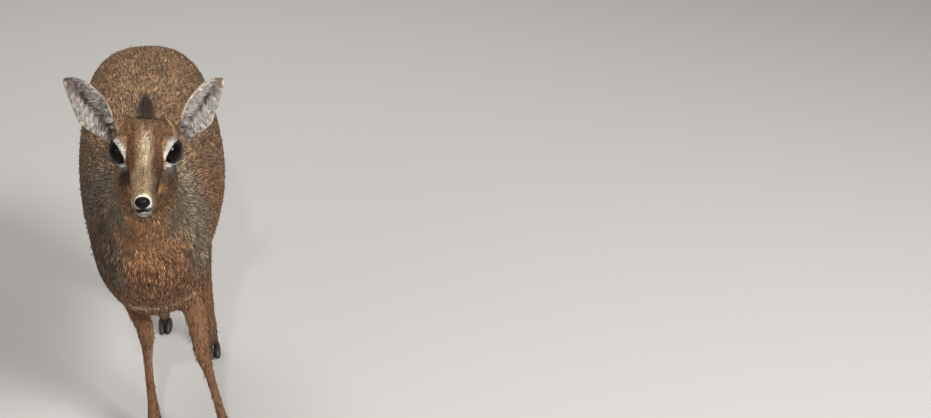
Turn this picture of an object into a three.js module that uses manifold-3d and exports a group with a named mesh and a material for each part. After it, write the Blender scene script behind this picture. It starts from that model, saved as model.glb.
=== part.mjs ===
// A life-size standing dik-dik, an adult female, in millimetres.
// +Z is up, the animal faces -Y, its own left side is +X, and its hooves stand on Z = 0.
import * as THREE from "three";
import { mergeVertices } from "three/addons/utils/BufferGeometryUtils.js";
import Module from "manifold-3d";

const wasm = await Module();
wasm.setup();

// Driving dimensions
const GAP = 0.3; // kept between pieces that meet
const CENTRING = new THREE.Vector3(-2.4, 47.1, 0); // puts the middle of the outer box over the origin
const X_AXIS = new THREE.Vector3(1, 0, 0);
const LEFT = 1;
const RIGHT = -1;

// The head stands on its own frame: the origin midway between the eyes, facing -Y.
const HEAD_AT = new THREE.Vector3(15.7, -246.5, 442.8);
const HEAD_TURN = { yaw: -0.6, pitch: -4.7, roll: 4.8 }; // degrees

const EYE = { x: 18.8, y: 1, z: -1.6, radius: 12.8, aside: 47, lift: 4 }; // the gaze in degrees
// The corners of the lids, forwards along the slit and towards the brow, and how far they open either way.
const LID = { radius: 14.2, front: [10.4, 1.5], back: [-11.4, -1.3], above: 6.3, below: 8.9, tilt: 37 };

const EAR = {
  root: [29, 27, 3.5],
  length: 66,
  thickness: 2.4,
  rim: 1.1,
  out: { left: 38.5, right: 41 }, // the lean away from straight up, in degrees
  back: 14, // the lean backwards
  turn: { left: 20, right: 6 }, // how far each cup looks outwards from straight ahead
};
// The ear's outline: [share of its length, width towards the crown, width towards the cheek].
const EAR_EDGE = [
  [0, 7, 6.5],
  [0.14, 12, 8],
  [0.28, 18, 11.5],
  [0.42, 20.5, 14],
  [0.56, 20, 12],
  [0.75, 17, 8],
  [0.9, 11, 4.5],
  [0.97, 5, 2.4],
  [1, 1.6, 1.2],
];

const EAR_BASE = { reach: [7.5, 10, 9.5], at: [24.5, 27, 4] };
const CHEEK = { reach: [11.5, 31, 18], at: [13.8, 1, -27] };
const LIP = { reach: [5, 15, 5.4], at: [6.8, -50, -28.5] };
const NOSE = { reach: [6.6, 5, 5.2], at: [0, -65.5, -24.8] };
const NOSTRIL = { reach: [1.5, 3.4, 1.7], at: [3.9, -69.6, -24.6], turn: 32 };
const GLAND = { reach: [2, 3.4, 3], at: [16.8, -15.5, -11] };

const CREST = {
  locks: 9,
  length: 14,
  width: 8,
  thick: 2,
  at: [0, 25, 25],
  spread: [7.5, 8.5],
  pad: [10.5, 11.5, 4.2],
};

const HOOF = { length: 25, height: 19, width: 8.8, spacing: 9.5, splay: 4 };

// Every station is [x, y, z, half width, reach on the upper or rear side, reach on the lower or front side].
const TORSO = [
  [-3, -188, 268, 40, 42, 52],
  [-4, -146, 277, 54, 72, 85],
  [-6, -95, 282, 63, 92, 89],
  [-4.5, -38, 288, 75, 98, 90],
  [-3, 22, 296, 81.5, 100, 88],
  [-4, 80, 306, 80.5, 101, 82],
  [-6, 134, 316, 75.5, 94, 76],
  [-8, 180, 324, 71, 82, 72],
  [-8, 219, 326, 66, 66, 64],
];

const NECK = [
  [-3, -96, 300, 40, 60, 54],
  [0, -136, 326, 36.5, 54, 46],
  [4, -172, 360, 31.5, 44, 37],
  [8, -198, 396, 28.5, 35, 31],
  [12, -213, 424, 26.5, 29, 27],
  [14.6, -218, 438, 22, 21, 19],
];

const HEAD = [
  [0, -67, -26, 7, 8, 9],
  [0, -60, -25.5, 9.4, 12, 17.5],
  [0, -48, -23.5, 11, 17, 21],
  [0, -33, -19.5, 12, 21, 23],
  [0, -16, -14, 15.6, 26, 27],
  [0, 0, -9.5, 21.5, 31, 32],
  [0, 16, -7, 27.6, 33, 34],
  [0, 32, -4, 27.5, 30, 34],
  [0, 46, -3, 23.5, 23.5, 30],
  [0, 60, -6, 19, 18, 24],
];

const TAIL = [
  [-2, 190, 372, 13, 8, 12],
  [-2, 206, 358, 12, 7, 11],
  [-2, 216, 338, 10, 6, 9],
  [-2, 221, 318, 6, 4.5, 6],
];

// Legs are named by end and side; the joints run from the top down to the hoof's crown.
const LEGS = {
  foreleg_right: {
    line: [
      [-43, -112, 300, 20, 34, 34],
      [-43, -100, 262, 19, 30, 28],
      [-38, -93, 226, 15, 20, 19],
      [-31.8, -97, 190, 11.2, 13, 12],
      [-26.2, -101, 168, 9.6, 10, 9.6],
      [-25, -102, 152, 9, 9, 9.6],
      [-26, -101.5, 138, 6.6, 7, 7],
      [-27.8, -101, 116, 5.2, 6.2, 5.6],
      [-29.4, -100.5, 84, 5.2, 6, 5.6],
      [-30, -100, 54, 6.3, 7, 6],
      [-30.6, -100, 38, 7.7, 8.5, 7.4],
      [-31, -106, 21, 7.6, 7.8, 6.6],
      [-31.3, -111, 10, 7.8, 8, 7],
    ],
    toe: -4,
  },
  foreleg_left: {
    line: [
      [35, -116, 300, 19, 34, 34],
      [36.5, -112, 262, 18, 30, 28],
      [35, -113, 226, 15.6, 21, 20],
      [33.8, -124, 190, 13, 14, 13],
      [35.6, -139, 167, 10.2, 10, 9.8],
      [36.3, -147, 150, 9, 9, 9.6],
      [38.6, -149, 136, 6.8, 7, 7],
      [41.8, -150, 116, 5.4, 6.2, 5.6],
      [46, -151, 84, 5.2, 6, 5.6],
      [50.4, -152, 54, 6.3, 7, 6],
      [52, -152.5, 38, 7.7, 8.5, 7.4],
      [53.4, -158, 21, 7.6, 7.8, 6.6],
      [54, -163, 10, 7.8, 8, 7],
    ],
    toe: 8,
  },
  hindleg_right: {
    line: [
      [-46, 150, 330, 28, 56, 58],
      [-52, 140, 292, 25, 54, 56],
      [-55, 134, 250, 21.5, 43, 46],
      [-46, 150, 208, 15, 23, 24],
      [-37, 178, 172, 9.8, 12, 11],
      [-33.5, 189, 150, 8.8, 10, 9],
      [-31.5, 188, 134, 7.2, 7.6, 7.6],
      [-29, 178, 110, 6, 6.6, 6.2],
      [-27.5, 170, 84, 5.8, 6.2, 5.8],
      [-26.5, 163, 54, 6.3, 7, 6],
      [-26.4, 158, 38, 7.6, 8.2, 7.2],
      [-26.5, 151, 21, 7.6, 7.6, 6.6],
      [-26.5, 146, 10, 7.8, 8, 7],
    ],
    toe: -5,
  },
  hindleg_left: {
    line: [
      [38, 144, 330, 28, 56, 58],
      [44, 128, 292, 25, 54, 56],
      [48, 110, 250, 22, 42, 46],
      [47, 109, 208, 15.4, 23, 23],
      [43.5, 120, 172, 10, 12, 11],
      [42, 128, 150, 8.8, 10, 9],
      [41, 126, 134, 7.2, 7.6, 7.6],
      [39.5, 116, 110, 6, 6.6, 6.2],
      [38, 105, 84, 5.8, 6.2, 5.8],
      [37, 92, 54, 6.3, 7, 6],
      [36.6, 86, 38, 7.6, 8.2, 7.2],
      [36.8, 78, 21, 7.6, 7.6, 6.6],
      [37, 73, 10, 7.8, 8, 7],
    ],
    toe: 6,
  },
};
const KNEE_STATION = 5; // the upper leg ends here, counted along a leg's stations
const PASTERN_STATION = 10.5; // and the lower leg here

// Colours and surfaces
const coat = (color) => new THREE.MeshStandardMaterial({ color, roughness: 0.92, metalness: 0 });
const FINISH = {
  back: coat(0x7c6147),
  rufous: coat(0x9a6238),
  face: coat(0xa27448),
  ear: coat(0xb3a08c),
  crest: coat(0x4f3f30),
  eye: new THREE.MeshStandardMaterial({ color: 0x0d0806, roughness: 0.08, metalness: 0 }),
  nose: new THREE.MeshStandardMaterial({ color: 0x171210, roughness: 0.35, metalness: 0 }),
  hoof: new THREE.MeshStandardMaterial({ color: 0x1c1713, roughness: 0.45, metalness: 0 }),
};

// A geometry's own triangles as a solid that can be joined and cut.
function solid(geometry) {
  const bare = new THREE.BufferGeometry();
  bare.setAttribute("position", geometry.getAttribute("position"));
  if (geometry.index) bare.setIndex(geometry.index);
  const merged = mergeVertices(bare, 1e-4);
  const made = new wasm.Manifold(
    new wasm.Mesh({
      numProp: 3,
      vertProperties: new Float32Array(merged.attributes.position.array),
      triVerts: new Uint32Array(merged.index.array),
    }),
  );
  if (made.volume() <= 0) throw new Error("a closed mesh faces inwards");
  return made;
}

// The largest closed surface of a solid, so that no scrap of a cut is kept.
function largest(made) {
  const pieces = made.decompose();
  return pieces.reduce((best, piece) => (piece.volume() > best.volume() ? piece : best));
}

function joined(pieces) {
  return pieces.reduce((sum, piece) => sum.add(piece));
}

function namedMesh(name, made, material) {
  const kept = largest(made).getMesh();
  const positions = new Float32Array(kept.numVert * 3);
  for (let i = 0; i < kept.numVert; i++)
    positions.set(kept.vertProperties.subarray(i * kept.numProp, i * kept.numProp + 3), i * 3);
  const geometry = new THREE.BufferGeometry();
  geometry.setAttribute("position", new THREE.BufferAttribute(positions, 3));
  geometry.setIndex(new THREE.BufferAttribute(kept.triVerts, 1));
  geometry.computeVertexNormals();
  const mesh = new THREE.Mesh(geometry, material);
  mesh.name = name;
  return mesh;
}

// Stations blended smoothly: the centre line and the three reaches are curves through the listed values.
function smoothStations(stations) {
  const centres = stations.map(([x, y, z]) => new THREE.Vector3(x, y, z));
  const reaches = stations.map(([, , , w, up, down]) => new THREE.Vector3(w, up, down));
  return {
    line: new THREE.CatmullRomCurve3(centres, false, "catmullrom"),
    reach: new THREE.CatmullRomCurve3(reaches, false, "catmullrom"),
  };
}

// Places along a loft from 0 to 1, closer together in the rounded ends.
function ringPlaces(rings, startDome, endDome, domeRings) {
  const places = [];
  for (let i = 1; i <= domeRings && startDome; i++)
    places.push(startDome * (1 - Math.cos((i / domeRings) * (Math.PI / 2))));
  if (!startDome) places.push(0);
  const middle = rings - (startDome ? domeRings : 0) - (endDome ? domeRings : 0);
  for (let i = 1; i < middle; i++)
    places.push(startDome + ((1 - startDome - endDome) * i) / middle);
  for (let i = domeRings; i >= 1 && endDome; i--)
    places.push(1 - endDome * (1 - Math.cos((i / domeRings) * (Math.PI / 2))));
  if (!endDome) places.push(1);
  return places;
}

function domeShare(t, startDome, endDome) {
  let share = 1;
  if (t < startDome) share *= Math.sqrt(1 - (1 - t / startDome) ** 2);
  if (1 - t < endDome) share *= Math.sqrt(1 - (1 - (1 - t) / endDome) ** 2);
  return share;
}

// A closed body of oval rings along a smooth line, with rounded ends.
function loft(stations, options = {}) {
  const { rings = 24, sides = 20, power = [2.2, 2.2], inflate = 0 } = options;
  const { startDome = 0.1, endDome = 0.1, domeRings = 4 } = options;
  const { line, reach } = smoothStations(stations);
  const positions = [];
  const index = [];
  const places = ringPlaces(rings, startDome, endDome, domeRings);
  for (const t of places) {
    const centre = line.getPoint(t);
    const tangent = line.getTangent(t);
    const side = X_AXIS.clone().addScaledVector(tangent, -X_AXIS.dot(tangent)).normalize();
    const up = side.clone().cross(tangent);
    const size = reach.getPoint(t);
    const square = 2 / THREE.MathUtils.lerp(power[0], power[1], t);
    const share = domeShare(t, startDome, endDome);
    for (let i = 0; i < sides; i++) {
      const angle = (i / sides) * 2 * Math.PI;
      const c = Math.cos(angle);
      const s = Math.sin(angle);
      const wide = (size.x * share + inflate) * Math.sign(c) * Math.abs(c) ** square;
      const reached = (s > 0 ? size.y : size.z) * share + inflate;
      const tall = reached * Math.sign(s) * Math.abs(s) ** square;
      positions.push(...centre.clone().addScaledVector(side, wide).addScaledVector(up, tall).toArray());
    }
  }
  const rows = places.length;
  for (let r = 0; r + 1 < rows; r++)
    for (let i = 0; i < sides; i++) {
      const a = r * sides + i;
      const b = r * sides + ((i + 1) % sides);
      index.push(a, a + sides, b, b, a + sides, b + sides);
    }
  const first = rows * sides;
  for (const t of [0, 1]) {
    const way = t ? 1 : -1;
    positions.push(...line.getPoint(t).addScaledVector(line.getTangent(t), way * inflate).toArray());
  }
  for (let i = 0; i < sides; i++) {
    const j = (i + 1) % sides;
    index.push(first, i, j);
    index.push(first + 1, (rows - 1) * sides + j, (rows - 1) * sides + i);
  }
  const geometry = new THREE.BufferGeometry();
  geometry.setAttribute("position", new THREE.Float32BufferAttribute(positions, 3));
  geometry.setIndex(index);
  return geometry;
}

// A flat slab across a loft at one place on its line, as thick as the gap, that parts the loft there.
function cutAcross(stations, t, size) {
  const { line } = smoothStations(stations);
  const slab = new THREE.BoxGeometry(size, size, GAP);
  const turn = new THREE.Quaternion().setFromUnitVectors(new THREE.Vector3(0, 0, 1), line.getTangent(t));
  slab.applyQuaternion(turn);
  slab.translate(...line.getPoint(t).toArray());
  return solid(slab);
}

// The pieces that a slab leaves, ordered from the start of the line to its end.
function partedAlong(made, stations, t, size) {
  const { line } = smoothStations(stations);
  const way = line.getTangent(t);
  const place = (piece) => {
    const box = piece.boundingBox();
    return new THREE.Vector3(...box.min).add(new THREE.Vector3(...box.max)).multiplyScalar(0.5).dot(way);
  };
  const pieces = made.subtract(cutAcross(stations, t, size)).decompose();
  pieces.sort((a, b) => b.volume() - a.volume());
  return pieces.slice(0, 2).sort((a, b) => place(a) - place(b));
}

const degrees = THREE.MathUtils.degToRad;

function headMatrix() {
  const turn = new THREE.Matrix4()
    .makeRotationZ(degrees(HEAD_TURN.yaw))
    .multiply(new THREE.Matrix4().makeRotationX(degrees(HEAD_TURN.pitch)))
    .multiply(new THREE.Matrix4().makeRotationY(degrees(HEAD_TURN.roll)));
  return turn.setPosition(HEAD_AT);
}

const IN_HEAD = headMatrix();

// The eye's own frame: +Z looks out along the gaze, +X runs forwards along the slit of the lids.
function eyeMatrix(side) {
  const aside = degrees(EYE.aside);
  const lift = degrees(EYE.lift);
  const gaze = new THREE.Vector3(
    side * Math.sin(aside) * Math.cos(lift), -Math.cos(aside) * Math.cos(lift), Math.sin(lift),
  );
  const down = new THREE.Vector3(0, -Math.cos(degrees(LID.tilt)), -Math.sin(degrees(LID.tilt)));
  const along = down.addScaledVector(gaze, -down.dot(gaze)).normalize();
  const across = gaze.clone().cross(along);
  return new THREE.Matrix4()
    .makeBasis(along, across, gaze)
    .setPosition(side * EYE.x, EYE.y, EYE.z);
}

function eyeball(side, radius, detail) {
  return new THREE.SphereGeometry(radius, detail, Math.round(detail * 0.6)).applyMatrix4(eyeMatrix(side));
}

// The almond-shaped opening between the lids, as a solid that runs outwards from the middle of the eye.
function lidOpening(side) {
  const [front, back] = [LID.front, LID.back].map(([along, up]) => [along, -side * up]);
  const almond = new THREE.Shape();
  almond.moveTo(...front);
  almond.quadraticCurveTo(0, side * LID.below * 2, ...back);
  almond.quadraticCurveTo(0, -side * LID.above * 2, ...front);
  const cutter = new THREE.ExtrudeGeometry(almond, { depth: 14, bevelEnabled: false, curveSegments: 8 });
  return cutter.translate(0, 0, 5).applyMatrix4(eyeMatrix(side));
}

// A groove along the closed lips, from one corner round under the nose to the other.
function mouthGroove() {
  const slit = new THREE.Shape();
  slit.moveTo(-80, -33.4);
  slit.lineTo(-60, -34.4);
  slit.quadraticCurveTo(-48, -34.2, -36, -27.6);
  slit.quadraticCurveTo(-48, -32.4, -60, -32.8);
  slit.lineTo(-80, -31.8);
  const blade = new THREE.ExtrudeGeometry(slit, { depth: 60, bevelEnabled: false, curveSegments: 6 });
  // The shape's own x runs along the head's Y and its y runs along Z.
  const stand = new THREE.Matrix4().makeBasis(
    new THREE.Vector3(0, 1, 0), new THREE.Vector3(0, 0, 1), new THREE.Vector3(1, 0, 0),
  );
  blade.applyMatrix4(stand).translate(-30, 0, 0);
  const core = loft(HEAD, { rings: 18, sides: 14, inflate: -2.6 });
  return solid(blade).subtract(solid(core));
}

// An oval at a place of the head's own frame, mirrored for the right side.
function sidedBall(form, side, inflate, detail) {
  const [x, y, z] = form.at;
  const grown = form.reach.map((reach) => reach + inflate);
  const oval = new THREE.SphereGeometry(1, detail, Math.round(detail * 0.7)).scale(...grown);
  oval.applyMatrix4(new THREE.Matrix4().makeRotationZ(degrees(-side * (form.turn ?? 0))));
  return oval.translate(side * x, y, z);
}

// The bare nose pad stands a little proud of the muzzle's end.
function nosePad(inflate = 0) {
  return solid(sidedBall(NOSE, LEFT, inflate, 14));
}

// The head's closed outer form, before the eyes, lips and nostrils are cut into it.
function headForm(inflate = 0) {
  const skull = { rings: 22, sides: 20, power: [2.2, 2.2], startDome: 0.07, endDome: 0.12, inflate };
  const forms = [loft(HEAD, skull)];
  for (const side of [LEFT, RIGHT]) {
    forms.push(eyeball(side, LID.radius + inflate, 16));
    forms.push(sidedBall(EAR_BASE, side, inflate, 12));
    forms.push(sidedBall(CHEEK, side, inflate, 14));
    forms.push(sidedBall(LIP, side, inflate, 10));
  }
  return joined(forms.map(solid));
}

function headSolid() {
  const cuts = [mouthGroove(), nosePad(GAP)];
  for (const side of [LEFT, RIGHT]) {
    cuts.push(solid(lidOpening(side)), solid(eyeball(side, EYE.radius + GAP, 16)));
    cuts.push(solid(sidedBall(GLAND, side, 0, 8)));
  }
  return headForm().subtract(joined(cuts));
}

// The half width of the ear at a share of its length, on the side of its crown or of its cheek.
function earReach(u, column) {
  const next = EAR_EDGE.findIndex((row) => row[0] >= u);
  if (next < 1) return EAR_EDGE[0][column];
  const before = EAR_EDGE[next - 1];
  const after = EAR_EDGE[next];
  const share = (u - before[0]) / (after[0] - before[0]);
  return THREE.MathUtils.lerp(before[column], after[column], share);
}

// The ear is a leaf that is curled to a tube at its root and opens to a cup.
function earPoint(u, v, side, offset) {
  const reach = earReach(u, v * side > 0 ? 2 : 1);
  const curl = 1.3 * (1 - u) ** 1.7 + 0.4; // the angle either side that the cup wraps through, in radians
  const angle = v * curl;
  const radius = reach / Math.sin(Math.min(curl, Math.PI / 2));
  const across = radius * Math.sin(angle) - offset * Math.sin(angle);
  const depth = radius * (1 - Math.cos(angle)) - offset * Math.cos(angle);
  return new THREE.Vector3(across, -depth, u * EAR.length);
}

function earGeometry(name, side, inflate = 0) {
  const rows = 13;
  const columns = 10;
  const positions = [];
  const index = [];
  const at = (layer, r, c) => (layer * (rows + 1) + r) * (columns + 1) + c;
  for (const layer of [0, 1])
    for (let r = 0; r <= rows; r++)
      for (let c = 0; c <= columns; c++) {
        const u = Math.sin(((r / rows) * Math.PI) / 2.4) / Math.sin(Math.PI / 2.4);
        const v = (2 * c) / columns - 1;
        const edge = Math.min(1, (1 - Math.abs(v)) * 2.2) * Math.min(1, (1 - u) * 4);
        const thick = EAR.rim + (EAR.thickness - EAR.rim) * edge + inflate;
        positions.push(...earPoint(u, v, side, layer ? thick / 2 : -thick / 2).toArray());
      }
  const quad = (a, b, c, d) => index.push(a, b, c, a, c, d);
  for (let r = 0; r < rows; r++)
    for (let c = 0; c < columns; c++) {
      quad(at(0, r, c), at(0, r, c + 1), at(0, r + 1, c + 1), at(0, r + 1, c));
      quad(at(1, r, c), at(1, r + 1, c), at(1, r + 1, c + 1), at(1, r, c + 1));
    }
  for (let c = 0; c < columns; c++) {
    quad(at(0, 0, c), at(1, 0, c), at(1, 0, c + 1), at(0, 0, c + 1));
    quad(at(0, rows, c), at(0, rows, c + 1), at(1, rows, c + 1), at(1, rows, c));
  }
  for (let r = 0; r < rows; r++) {
    quad(at(0, r, 0), at(0, r + 1, 0), at(1, r + 1, 0), at(1, r, 0));
    quad(at(0, r, columns), at(1, r, columns), at(1, r + 1, columns), at(0, r + 1, columns));
  }
  const geometry = new THREE.BufferGeometry();
  geometry.setAttribute("position", new THREE.Float32BufferAttribute(positions, 3));
  geometry.setIndex(index);
  const place = new THREE.Matrix4()
    .makeRotationY(degrees(side * EAR.out[name]))
    .multiply(new THREE.Matrix4().makeRotationX(degrees(-EAR.back)))
    .multiply(new THREE.Matrix4().makeRotationZ(degrees(side * EAR.turn[name])))
    .setPosition(side * EAR.root[0], EAR.root[1], EAR.root[2]);
  return geometry.applyMatrix4(place);
}

// A repeatable draw between 0 and 1.
function seeded(seed) {
  let state = seed;
  return () => {
    state = (state * 16807) % 2147483647;
    return state / 2147483647;
  };
}

// A flat lock of hair that bends backwards and tapers to its tip, with its root sunk below z = 0.
function lock(length, width, thick, bend) {
  const stations = [
    [0, 0, -4, width * 0.42, thick * 0.5, thick * 0.5],
    [0, bend * 0.04, length * 0.2, width * 0.5, thick * 0.5, thick * 0.5],
    [0, bend * 0.3, length * 0.6, width * 0.34, thick * 0.42, thick * 0.42],
    [0, bend, length, 0.5, 0.35, 0.35],
  ];
  return loft(stations, { rings: 4, sides: 6, power: [2, 2], startDome: 0, endDome: 0 });
}

function crestSolid() {
  const draw = seeded(41);
  const tufts = [solid(sidedBall({ reach: CREST.pad, at: CREST.at }, LEFT, 0, 10))];
  for (let i = 0; i < CREST.locks; i++) {
    const angle = i * 2.399963; // the golden angle spreads the roots evenly
    const reach = Math.sqrt((i + 0.5) / CREST.locks);
    const x = CREST.at[0] + CREST.spread[0] * reach * Math.cos(angle);
    const y = CREST.at[1] + CREST.spread[1] * reach * Math.sin(angle);
    const length = CREST.length * (1.05 - 0.35 * reach) * (0.9 + 0.2 * draw());
    const strand = lock(length, CREST.width, CREST.thick, 4 + 4 * draw());
    const lean = new THREE.Matrix4()
      .makeRotationZ((draw() - 0.5) * 1.4)
      .premultiply(new THREE.Matrix4().makeRotationX(degrees(16 * reach * Math.sin(angle) - 6 * draw())))
      .premultiply(new THREE.Matrix4().makeRotationY(degrees(-20 * reach * Math.cos(angle))));
    strand.applyMatrix4(lean).translate(x, y, CREST.at[2]);
    tufts.push(solid(strand));
  }
  return joined(tufts);
}

// One claw of a hoof: pointed in front, flat below and upright behind.
function claw(line, side, toe, inflate = 0) {
  const [x, y] = line[line.length - 1];
  const { length, height, width, spacing, splay } = HOOF;
  const stations = [
    [0, -length * 0.62, 1.5, width * 0.2, 2.2, 3.4],
    [0, -length * 0.4, 3.4, width * 0.42, 5.4, 6],
    [0, -length * 0.1, 5.6, width * 0.5, height * 0.42, 8],
    [0, length * 0.2, 6.6, width * 0.5, height * 0.5, 9],
    [0, length * 0.38, 6.6, width * 0.44, height * 0.42, 9],
  ];
  const shape = { rings: 7, sides: 8, power: [2.6, 2.6], startDome: 0.1, endDome: 0.16, domeRings: 1 };
  const body = loft(stations, { ...shape, inflate });
  body.applyMatrix4(new THREE.Matrix4().makeRotationZ(degrees(-side * splay)));
  body.translate(side * spacing * 0.5, 0, 0);
  body.applyMatrix4(new THREE.Matrix4().makeRotationZ(degrees(toe)));
  body.translate(x, y, 0);
  const floor = new THREE.BoxGeometry(400, 600, 40).translate(0, 0, -20 - inflate);
  return solid(body).subtract(solid(floor));
}

function dewclaws(line) {
  const [x, y, z] = line[10];
  return [LEFT, RIGHT].map((side) =>
    solid(
      new THREE.SphereGeometry(1, 8, 6).scale(2.6, 2.6, 4).translate(x + side * 4.6, y + 7.2, z - 5.5),
    ),
  );
}

const LEG_FORM = { rings: 24, sides: 12, power: [2.1, 2.1], startDome: 0.08, endDome: 0.05, domeRings: 2 };

// A leg as three pieces of flesh and two claws, from the top down, clear of the body that it meets.
function legMeshes(name, leg, bodyClear) {
  const last = leg.line.length - 1;
  const claws = [LEFT, RIGHT].map((side) => claw(leg.line, side, leg.toe));
  const clawsClear = joined([LEFT, RIGHT].map((side) => claw(leg.line, side, leg.toe, GAP)));
  const flesh = joined([solid(loft(leg.line, LEG_FORM)), ...dewclaws(leg.line)]);
  const clear = largest(flesh.subtract(bodyClear).subtract(clawsClear));
  const [upper, shin] = partedAlong(clear, leg.line, KNEE_STATION / last, 90);
  const [lower, foot] = partedAlong(shin, leg.line, PASTERN_STATION / last, 60);
  return [
    namedMesh(name + "_upper", upper, FINISH.rufous),
    namedMesh(name + "_lower", lower, FINISH.rufous),
    namedMesh(name + "_foot", foot, FINISH.rufous),
    namedMesh(name + "_claw_left", claws[0], FINISH.hoof),
    namedMesh(name + "_claw_right", claws[1].subtract(claw(leg.line, LEFT, leg.toe, GAP)), FINISH.hoof),
  ];
}

function build() {
  const part = new THREE.Group();
  part.position.copy(CENTRING);
  const torsoForm = { rings: 24, sides: 28, power: [1.9, 2.55], startDome: 0.16, endDome: 0.2 };
  const neckForm = { rings: 14, sides: 20, power: [2.1, 2.1], startDome: 0.12, endDome: 0.12 };
  const torsoClear = solid(loft(TORSO, { ...torsoForm, inflate: GAP }));
  const neckClear = solid(loft(NECK, { ...neckForm, inflate: GAP }));
  const headClear = headForm(GAP);
  const bodyClear = torsoClear.add(neckClear);
  const neck = solid(loft(NECK, neckForm)).subtract(torsoClear);
  const tail = solid(loft(TAIL, { rings: 12, sides: 12 })).subtract(torsoClear);
  const addToHead = (name, made, finish) =>
    part.add(namedMesh(name, made.transform(IN_HEAD.elements), finish));

  part.add(namedMesh("torso", solid(loft(TORSO, torsoForm)), FINISH.back));
  part.add(namedMesh("neck", neck, FINISH.rufous));
  part.add(namedMesh("tail", tail, FINISH.rufous));
  part.add(namedMesh("head", headSolid().transform(IN_HEAD.elements).subtract(neckClear), FINISH.face));
  const nostrils = joined([LEFT, RIGHT].map((side) => solid(sidedBall(NOSTRIL, side, 0, 8))));
  addToHead("nose", nosePad().subtract(nostrils), FINISH.nose);
  addToHead("crest", crestSolid().subtract(headClear), FINISH.crest);
  for (const [name, side] of [["left", LEFT], ["right", RIGHT]]) {
    addToHead("eye_" + name, solid(eyeball(side, EYE.radius, 16)), FINISH.eye);
    const ear = solid(earGeometry(name, side)).subtract(headClear).transform(IN_HEAD.elements);
    part.add(namedMesh("ear_" + name, ear.subtract(neckClear), FINISH.ear));
  }
  for (const [name, leg] of Object.entries(LEGS)) part.add(...legMeshes(name, leg, bodyClear));
  return part;
}

export default build();
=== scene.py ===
"""A life-size standing dik-dik: one skin, its coat, eyes, nose pad, hooves and a plain studio.

The sculpting is in millimetres and the finished meshes in metres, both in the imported
model's frame: +Z is up, the animal faces -Y and its own left side is +X.
"""

import logging
import math
from dataclasses import dataclass, field
from enum import Enum

import bmesh
import bpy
import numpy as np
import openvdb as vdb
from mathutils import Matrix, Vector

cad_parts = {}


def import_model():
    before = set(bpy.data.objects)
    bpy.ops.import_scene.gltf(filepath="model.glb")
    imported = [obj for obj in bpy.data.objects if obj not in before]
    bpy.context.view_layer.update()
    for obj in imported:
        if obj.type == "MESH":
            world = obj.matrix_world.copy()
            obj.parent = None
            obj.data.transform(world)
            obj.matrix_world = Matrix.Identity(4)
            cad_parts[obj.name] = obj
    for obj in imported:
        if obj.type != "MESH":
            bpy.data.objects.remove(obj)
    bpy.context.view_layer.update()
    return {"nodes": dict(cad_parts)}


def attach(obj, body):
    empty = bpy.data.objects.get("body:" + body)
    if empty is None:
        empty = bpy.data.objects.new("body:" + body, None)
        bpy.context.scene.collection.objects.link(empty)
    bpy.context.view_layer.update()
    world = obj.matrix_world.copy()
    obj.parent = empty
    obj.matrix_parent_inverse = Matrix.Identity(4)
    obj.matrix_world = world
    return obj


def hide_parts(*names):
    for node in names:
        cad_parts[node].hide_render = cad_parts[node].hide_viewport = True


log = logging.getLogger("dik_dik")

MM = 0.001
FAR = 60.0  # millimetres; stands for any distance beyond a block's reach
SIDES = {"left": 1.0, "right": -1.0}
LEGS = ("foreleg_left", "foreleg_right", "hindleg_left", "hindleg_right")
FLESH = ["torso", "neck", "tail", "head", "ear_left", "ear_right"]
FLESH += [leg + part for leg in LEGS for part in ("_upper", "_lower", "_foot")]

# Places in the head's frame, on its left where there are two.
NOSE_AT = (0.0, -65.5, -24.8)
GLAND_AT = (15.8, -15.5, -11.0)
UNDER_EYE_AT = (23.0, -7.0, -14.8)
CREST_FOOT_AT = (0.0, 14.0, 25.0)
# The closed lips and the pale edge above them in the head's frame, as places along Y and Z.
MOUTH_LINE = [(-76.0, -32.6), (-60.0, -33.4), (-52.0, -32.8), (-44.0, -30.9), (-36.0, -27.6)]
PALE_LIP_LINE = [(-72, -29.0), (-58, -29.6), (-50, -28.6), (-42, -26.0)]
# The raised edge of the brow, from the side of the crest to the ear's base.
BROW_LINE = [(9.5, 22.0, 22.5), (15.9, 31.0, 19.6), (22.5, 27.0, 15.0), (28.6, 21.0, 8.5)]
# The groove between the muzzle and the cheek, along which painted shade lies.
GROOVE_LINE = [(15.0, -23.0, -15.0), (12.6, -30.0, -21.0), (11.5, -47.0, -21.0)]

# The triangles of a tuft with a bend and of one without, by the number of the vertex in the tuft.
LONG_TUFT = np.array(
    [[0, 1, 4], [0, 4, 3], [1, 2, 5], [1, 5, 4], [3, 4, 6], [4, 5, 6], [0, 3, 5], [0, 5, 2], [3, 6, 5]]
)
SHORT_TUFT = np.array([[0, 1, 3], [1, 2, 3], [0, 3, 2]])

Array = np.ndarray


class Region(Enum):
    """The parts of the skin that the coat treats differently."""

    TORSO = "torso"
    NECK = "neck"
    LEGS = "legs"
    TAIL = "tail"
    HEAD = "head"
    EARS = "ears"


def smooth_step(value: Array, low: float, high: float) -> Array:
    """Rises smoothly from 0 at low to 1 at high."""
    share = np.clip((value - low) / (high - low), 0.0, 1.0)
    return share * share * (3.0 - 2.0 * share)


def blended(a: Array, b: Array, share: Array) -> Array:
    """a where share is 0 and b where it is 1."""
    return a + (b - a) * share


def unit(vectors: Array) -> Array:
    """The vectors at length 1."""
    length = np.linalg.norm(vectors, axis=-1, keepdims=True)
    return vectors / np.maximum(length, 1e-9)


def linear(colour: tuple[float, float, float]) -> Array:
    """A display colour as scene-linear numbers."""
    shown = np.asarray(colour, float)
    return np.where(shown <= 0.04045, shown / 12.92, ((shown + 0.055) / 1.055) ** 2.4)


def smooth_min(a: Array, b: Array, reach: float) -> Array:
    """The lower of two distances, with a fillet where they are within reach of each other."""
    share = np.maximum(reach - np.abs(a - b), 0.0) / reach
    return np.minimum(a, b) - share * share * reach * 0.25


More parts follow.
